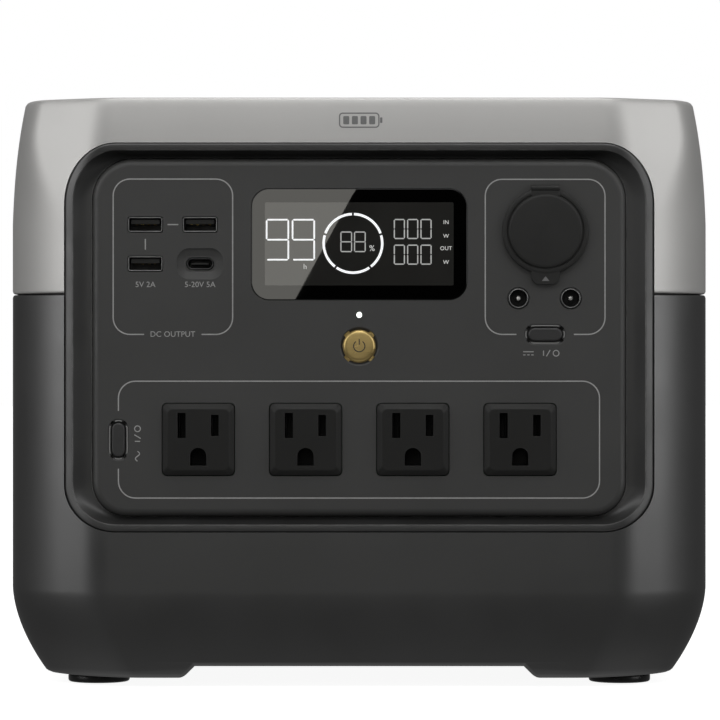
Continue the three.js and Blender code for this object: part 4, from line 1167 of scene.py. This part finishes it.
def make_display():
    middle, (low, high) = centre("display_lens"), cad("display_lens")
    x, z, front = middle.x, middle.z, low.y
    wide, tall = high.x - low.x, high.z - low.z
    lens = pad(wide, tall, 6.9, x, z, front, high.y, 0.35, 14, 5)
    piece("display_lens_plate", lens, LENS_PLASTIC, replaces=["display_lens"])
    screen = pad(72.2, 31.8, 0.5, x, z + 0.15, front - 0.02, front + 0.2, 0.01, 3, 1)
    piece("display_screen", screen, SCREEN_GLASS)
    top, base = front - 0.05, front + 0.1
    bright = [digits("99", x - 35.7, z - 6.2, 8.9, 15.9, 0.62, 9.9, top, base)]
    for i in range(5):
        start = 90 - 72 * i - 2
        bright.append(ribbon(arc(x - 2.4, z + 0.35, 11.2, start, start - 68, 32), 0.95, top, base))
    piece("display_digits", merge(*bright), DIGIT_GLOW)
    dim = [digits("88", x - 7.2, z - 3.0, 4.5, 7.9, 0.42, 5.2, top, base)]
    dim += [digits("000", x + 13.2, low_z, 4.3, 7.7, 0.45, 5.1, top, base) for low_z in (z + 2.0, z - 7.8)]
    piece("display_small_digits", merge(*dim), DIM_GLOW)
    words = [("h", 2.0, x - 20.7, z - 8.6), ("%", 2.2, x + 4.9, z - 1.6)]
    words += [("IN", 1.5, x + 33.2, z + 8.4), ("W", 1.5, x + 33.2, z + 3.1)]
    words += [("OUT", 1.5, x + 33.2, z - 1.6), ("W", 1.5, x + 33.2, z - 6.9)]
    for i, (text, height, wx, wz) in enumerate(words):
        lettering(f"display_word_{i + 1}", text, height, wx, wz, top, WORD_GLOW)


# ---- Printed marks ----


def lettering(name, text, height, x, z, front, material, body=CASE):
    """Generic lettering of a cap height, centred at x, z, as a thin raised mesh."""
    curve = bpy.data.curves.new(name, "FONT")
    curve.body = text
    curve.align_x = "CENTER"
    curve.align_y = "CENTER"
    curve.size = height / 0.7 * MM
    curve.space_character = 1.02
    curve.extrude = 0.03 * MM
    curve.resolution_u = 4
    letters = put_in_scene(name, curve)
    graph = bpy.context.evaluated_depsgraph_get()
    mesh = bpy.data.meshes.new_from_object(letters.evaluated_get(graph))
    bpy.data.objects.remove(letters)
    place = Matrix.Translation(Vector((x, front + 0.02, z)) * MM)
    mesh.transform(place @ Matrix.Rotation(math.pi / 2, 4, "X"))
    return piece(name, put_in_scene(name, mesh), material, body, angle=20)


def open_box(left, right, low, high, radius, gap, side="bottom"):
    """A rounded box's outline as a path, with a gap in its lower or left side."""
    if side == "bottom":
        start = [(gap[1], low)]
        end = [(gap[0], low)]
        corners = [(right, low, 270), (right, high, 0), (left, high, 90), (left, low, 180)]
    else:
        start = [(left, gap[0])]
        end = [(left, gap[1])]
        corners = [(left, low, 180), (right, low, 270), (right, high, 0), (left, high, 90)]
    path = start
    for cx, cz, angle in corners:
        x = cx - radius if cx == right else cx + radius
        z = cz - radius if cz == high else cz + radius
        path += arc(x, z, radius, angle, angle + 90, 10)
    return path + end


def make_prints():
    front, back = PANEL_Y - 0.04, PANEL_Y + 0.05
    usb = centre("usb_c_port")
    dc, ac = centre("dc_button"), centre("ac_button")
    column_left = centre("usb_a_port_1").x
    boxes = [
        open_box(-94.1, -48.4, dc.z, 194.8, 6.4, (column_left - 0.5, usb.x + 0.6)),
        open_box(48.2, 94.0, dc.z, 194.7, 6.4, (dc.x - 11, dc.x + 11)),
        open_box(-92.1, 91.9, 72.8, 117.5, 6.5, (ac.z - 11.1, ac.z + 11.1), "side"),
    ]
    upper = centre("usb_a_port_1").z
    lower = centre("usb_a_port_3").z
    links = [[(-73.3, upper), (-69.2, upper)], [(column_left, 167.8), (column_left, 171.9)]]
    lines = [ribbon(path, 0.45, front, back) for path in boxes + links]
    piece("panel_lines", merge(*lines), INK_GREY)
    labels = [
        ("port_label_left", "5V 2A", column_left, lower - 8),
        ("port_label_right", "5-20V 5A", usb.x, lower - 8),
        ("port_group_label", "DC OUTPUT", (column_left + usb.x) / 2, dc.z),
    ]
    for name, text, x, z in labels:
        lettering(name, text, 2.1, x, z, PANEL_Y - 0.03, INK_GREY)
    direct = [[(-8.4, 0.55), (-4.4, 0.55)], [(-8.4, -0.65), (-7.5, -0.65)], [(-6.85, -0.65), (-5.95, -0.65)]]
    direct.append([(-5.3, -0.65), (-4.4, -0.65)])
    wave = [[(-8.2 + 0.19 * i, 0.8 * math.sin(math.tau * i / 20)) for i in range(21)]]
    symbols = [("dc_label", (dc.x, dc.z - 7.2), direct, 0), ("ac_label", (ac.x + 7.3, ac.z), wave, 90)]
    for name, button, symbol, turn in symbols:
        strokes = [ribbon(path, 0.36, front, back) for path in symbol + on_off_symbol()]
        piece(name, placed(merge(*strokes), *button, turn), INK_GREY)


def on_off_symbol():
    """The bar and ring that mark a switch, with a stroke between them."""
    return [[(-0.6, -1.0), (-0.6, 1.0)], [(0.5, -1.2), (1.9, 1.2)], arc(4.2, 0, 1.1, 90, 450, 28)]


def placed(form, x, z, turn):
    """A form drawn about the origin, turned anticlockwise as seen from the front and moved to x, z."""
    points, faces = form
    cos, sin = math.cos(math.radians(turn)), math.sin(math.radians(turn))
    return [(x + px * cos - pz * sin, py, z + px * sin + pz * cos) for px, py, pz in points], faces


def make_case_mark():
    """A plain battery outline with bars, printed on the upper shell above the bezel."""
    x, z, front, back = 0, 217.2, FRONT - 0.04, FRONT + 0.1
    outline = rounded_loop(15, 5.4, 1.2, x, z, 6)
    forms = [ribbon(outline, 0.5, front, back, closed=True)]
    forms.append(plate(0.9, 2.2, 0.3, x + 8.4, z, front, back, 3))
    for i in range(4):
        forms.append(plate(2.3, 3.2, 0.4, x - 4.95 + 3.3 * i, z, front, back, 3))
    points, faces = merge(*forms)
    points = [(px, py + lean(pz), pz) for px, py, pz in points]
    piece("case_mark", (points, faces), INK_CASE)


# ---- Sides and rear ----


def make_vent(side):
    """A grille: a frame with level slats that lean outward and down."""
    node = "vent_grille_" + side
    low, high = cad(node)
    sign = -1 if side == "left" else 1
    face, depth = sign * (HALF - 0.1), 2.6
    width, height = high.y - low.y, high.z - low.z
    z = (low.z + high.z) / 2
    inner = face - sign * depth
    rings = []
    section = [(0, depth), (0, 0.4), (0.15, 0.1), (0.5, 0), (2.9, 0), (3.2, 0.15), (3.4, 0.5), (3.4, depth)]
    for inset, sunk in section:
        loop = rounded_loop(width - 2 * inset, height - 2 * inset, 4.7 - inset, 0, z, 8)
        rings.append([(face - sign * sunk, y, loop_z) for y, loop_z in loop])
    forms = [loft(rings, closed=True)]
    slat = [(0.15, -0.9), (0.15, -0.1), (0.5, 0.35), (2.3, 1.5)]
    slat += [(2.55, 1.35), (2.55, 0.6), (2.2, 0.2), (0.6, -1.1)]
    count = 10
    pitch = (height - 8) / count
    reach = width / 2 - 3
    for i in range(count):
        slat_z = low.z + 4 + (i + 0.5) * pitch
        forms.append(loft([[(face - sign * dx, y, slat_z + dz) for dx, dz in slat] for y in (-reach, reach)]))
    for y in (-reach / 3, reach / 3):
        post = sorted_box((inner, y - 0.8, low.z + 2), (inner + sign * 0.9, y + 0.8, high.z - 2))
        forms.append(box_form(*post))
    piece(node + "_louvres", merge(*forms), DARK_CASE, replaces=[node], angle=40)


def make_shade_baffle(side):
    """A near-black sheet between the fan and the boards, put in as painted shade that closes the view through
    the case.
    """
    vent, cells = cad("vent_grille_" + side), cad("cell_stack_3")
    sign = -1 if side == "left" else 1
    x = sign * (size("battery_clamp").x / 2 + 2)
    low, high = (vent[0].y - 6, cells[1].z - 8), (vent[1].y + 6, vent[1].z + 2)
    middle, width, height = (low[0] + high[0]) / 2, high[0] - low[0], high[1] - low[1]
    loop = rounded_loop(width, height, 1.5, middle, (low[1] + high[1]) / 2, 4)
    steps = ((-1.2, 0.99), (-0.9, 1), (0.9, 1), (1.2, 0.99))
    rings = [[(x + dx, middle + (y - middle) * share, z) for y, z in loop] for dx, share in steps]
    # Near-black rubber finish, so the sheet reads as painted shade behind the grille.
    piece("shade_baffle_" + side, loft(rings), FOOT_RUBBER)


def sorted_box(a, b):
    return [min(p, q) for p, q in zip(a, b)], [max(p, q) for p, q in zip(a, b)]


def make_rear_labels():
    """Generic words on the inlet flap, read from behind."""
    low, high = cad("input_door")
    z = (low.z + high.z) / 2 + 1.5
    for name, text, x in (("ac_in_label", "AC IN", -20), ("dc_in_label", "DC IN", 24)):
        label = lettering(name, text, 2.6, 0, 0, 0, INK_GREY, body="input_door")
        label.data.transform(Matrix.Rotation(math.pi, 4, "Z"))
        label.data.transform(Matrix.Translation(Vector((x, CORE_REAR + 2.7, z)) * MM))


# ---- Stage ----


FILL_POWER = 2
CARD_POWER = 0.28
SKY_FRONT = 0.14
SKY_REAR = 0.2
SKY_BELOW = 0.4
OVERHEAD = 1.7
SIDE_AZIMUTH = 63
SIDE_DISTANCE = 1.0
SIDE_HEIGHT = 0.5
SIDE_WIDE = 0.52
SIDE_TALL = 0.84
SIDE_POWER = 3.4
LOW_POWER = 0.3
FRONT_POWER = 5.2


def area_light(name, place, target, wide, tall, power, color=(1, 1, 1)):
    data = bpy.data.lights.new(name, "AREA")
    data.shape = "RECTANGLE"
    data.size, data.size_y = wide, tall
    data.energy = power
    data.color = color
    light = put_in_scene(name, data)
    light.location = place
    light.rotation_euler = (Vector(target) - Vector(place)).to_track_quat("-Z", "Y").to_euler()
    return light


def sky_gradient(nodes, links):
    """Brightness of the studio by direction: brighter behind the object and from below, black at the lens."""
    direction = nodes.new("ShaderNodeTexCoord").outputs["Generated"]
    split = nodes.new("ShaderNodeSeparateXYZ")
    links.new(direction, split.inputs[0])

    def ranged(axis, *numbers, kind="LINEAR"):
        node = nodes.new("ShaderNodeMapRange")
        node.interpolation_type = kind
        for key, number in zip(RANGE_SOCKETS, numbers):
            node.inputs[key].default_value = number
        links.new(split.outputs[axis], node.inputs["Value"])
        return node.outputs["Result"]

    def combined(first, second, operation):
        node = nodes.new("ShaderNodeMath")
        node.operation = operation
        links.new(first, node.inputs[0])
        links.new(second, node.inputs[1])
        return node.outputs[0]

    behind = ranged("Y", 0.7, 1.0, SKY_FRONT, SKY_REAR, kind="SMOOTHSTEP")
    below = ranged("Z", -0.5, -0.95, 0, SKY_BELOW, kind="SMOOTHSTEP")
    flag = ranged("Y", -0.993, -0.99, 0, 1)
    return combined(combined(behind, below, "ADD"), flag, "MULTIPLY")


def make_stage():
    reach = 9000
    floor = new_object("floor", box_form((-reach, -reach, -6), (reach, reach, 0)))
    finish = Finish("floor_paint", grey(0.35), 0.8, Emission_Color=(1, 1, 1, 1), Emission_Strength=0.92)
    finish.mottle(3, 0.01).grain(60, 0.05, 0.1)
    floor.data.materials.append(finish.material)
    floor.visible_diffuse = floor.visible_glossy = False

    world = bpy.data.worlds.new("studio")
    bpy.context.scene.world = world
    world.use_nodes = True
    nodes, links = world.node_tree.nodes, world.node_tree.links
    lighting = nodes["Background"]
    links.new(sky_gradient(nodes, links), lighting.inputs["Strength"])
    lighting.inputs["Color"].default_value = (1, 1, 1, 1)
    backdrop = nodes.new("ShaderNodeBackground")
    backdrop.inputs["Color"].default_value = (1, 1, 1, 1)
    path = nodes.new("ShaderNodeLightPath")
    mix = nodes.new("ShaderNodeMixShader")
    links.new(path.outputs["Is Camera Ray"], mix.inputs["Fac"])
    links.new(lighting.outputs[0], mix.inputs[1])
    links.new(backdrop.outputs[0], mix.inputs[2])
    links.new(mix.outputs[0], nodes["World Output"].inputs["Surface"])

    data = bpy.data.lights.new("overhead", "SUN")
    data.energy = OVERHEAD
    data.angle = math.radians(50)
    put_in_scene("overhead", data).rotation_euler = (math.radians(-6), 0, 0)

    for side in (-1, 1):
        name = f"side_softbox_{'left' if side < 0 else 'right'}"
        azimuth = math.radians(SIDE_AZIMUTH)
        x, y = side * SIDE_DISTANCE * math.sin(azimuth), -SIDE_DISTANCE * math.cos(azimuth) - 0.1
        target = (0, -0.1, SIDE_HEIGHT - 0.1)
        area_light(name, (x, y, SIDE_HEIGHT), target, SIDE_WIDE, SIDE_TALL, SIDE_POWER)
        area_light(name.replace("side", "low"), (x, y, 0.12), (0, -0.1, 0.12), SIDE_WIDE, 0.2, LOW_POWER)
    area_light("front_softbox", (0, -0.85, 0.95), (0, -0.13, 0.12), 1.2, 0.5, FRONT_POWER)
    area_light("camera_fill", (0, -2.5, 0.8), (0, 0, 0.12), 1.0, 0.8, FILL_POWER)
    card_x, card_z = -0.0791, 0.2429
    place, target = (card_x, -1.64, card_z), (card_x, 0, card_z)
    lens_card = area_light("lens_card", place, target, 0.12, 0.22, CARD_POWER, (1, 0.98, 0.91))
    lens_card.rotation_euler = (math.pi / 2, 0, 0)
    lens_card.rotation_euler.rotate_axis("Z", math.radians(-28.7))


def make_camera():
    """Level, straight at the front, with the object filling the frame as in a catalogue picture."""
    distance, pixels_per_mm = 1500, 2.62
    sensor, image = 36, 720
    data = bpy.data.cameras.new("camera")
    data.sensor_width = sensor
    data.lens = sensor * pixels_per_mm * distance / image
    data.clip_end = 100
    camera = put_in_scene("camera", data)
    camera.location = Vector((0.3, FRONT - distance, 125.6)) * MM
    camera.rotation_euler = (math.pi / 2, 0, 0)
    bpy.context.scene.camera = camera


def set_view():
    settings = bpy.context.scene.view_settings
    settings.view_transform = "Standard"
    settings.look = "None"


# ---- Assembly ----


def build():
    make_camera()
    make_stage()
    set_view()
    dress_cad_nodes()
    make_upper_shell()
    make_lower_shell()
    make_feet()
    make_bezel()
    make_panel()
    for node in USB_A:
        make_usb_a(node)
    make_usb_c()
    for node in ("barrel_jack_left", "barrel_jack_right"):
        make_barrel_jack(node)
    for node in OUTLETS:
        make_outlet(node)
    make_car_socket()
    make_socket_cover()
    make_power_button()
    for node in BUTTON_SIZES:
        make_bar_button(node)
    make_display()
    make_prints()
    make_case_mark()
    for side in ("left", "right"):
        make_vent(side)
        make_shade_baffle(side)
    make_rear_labels()


build()
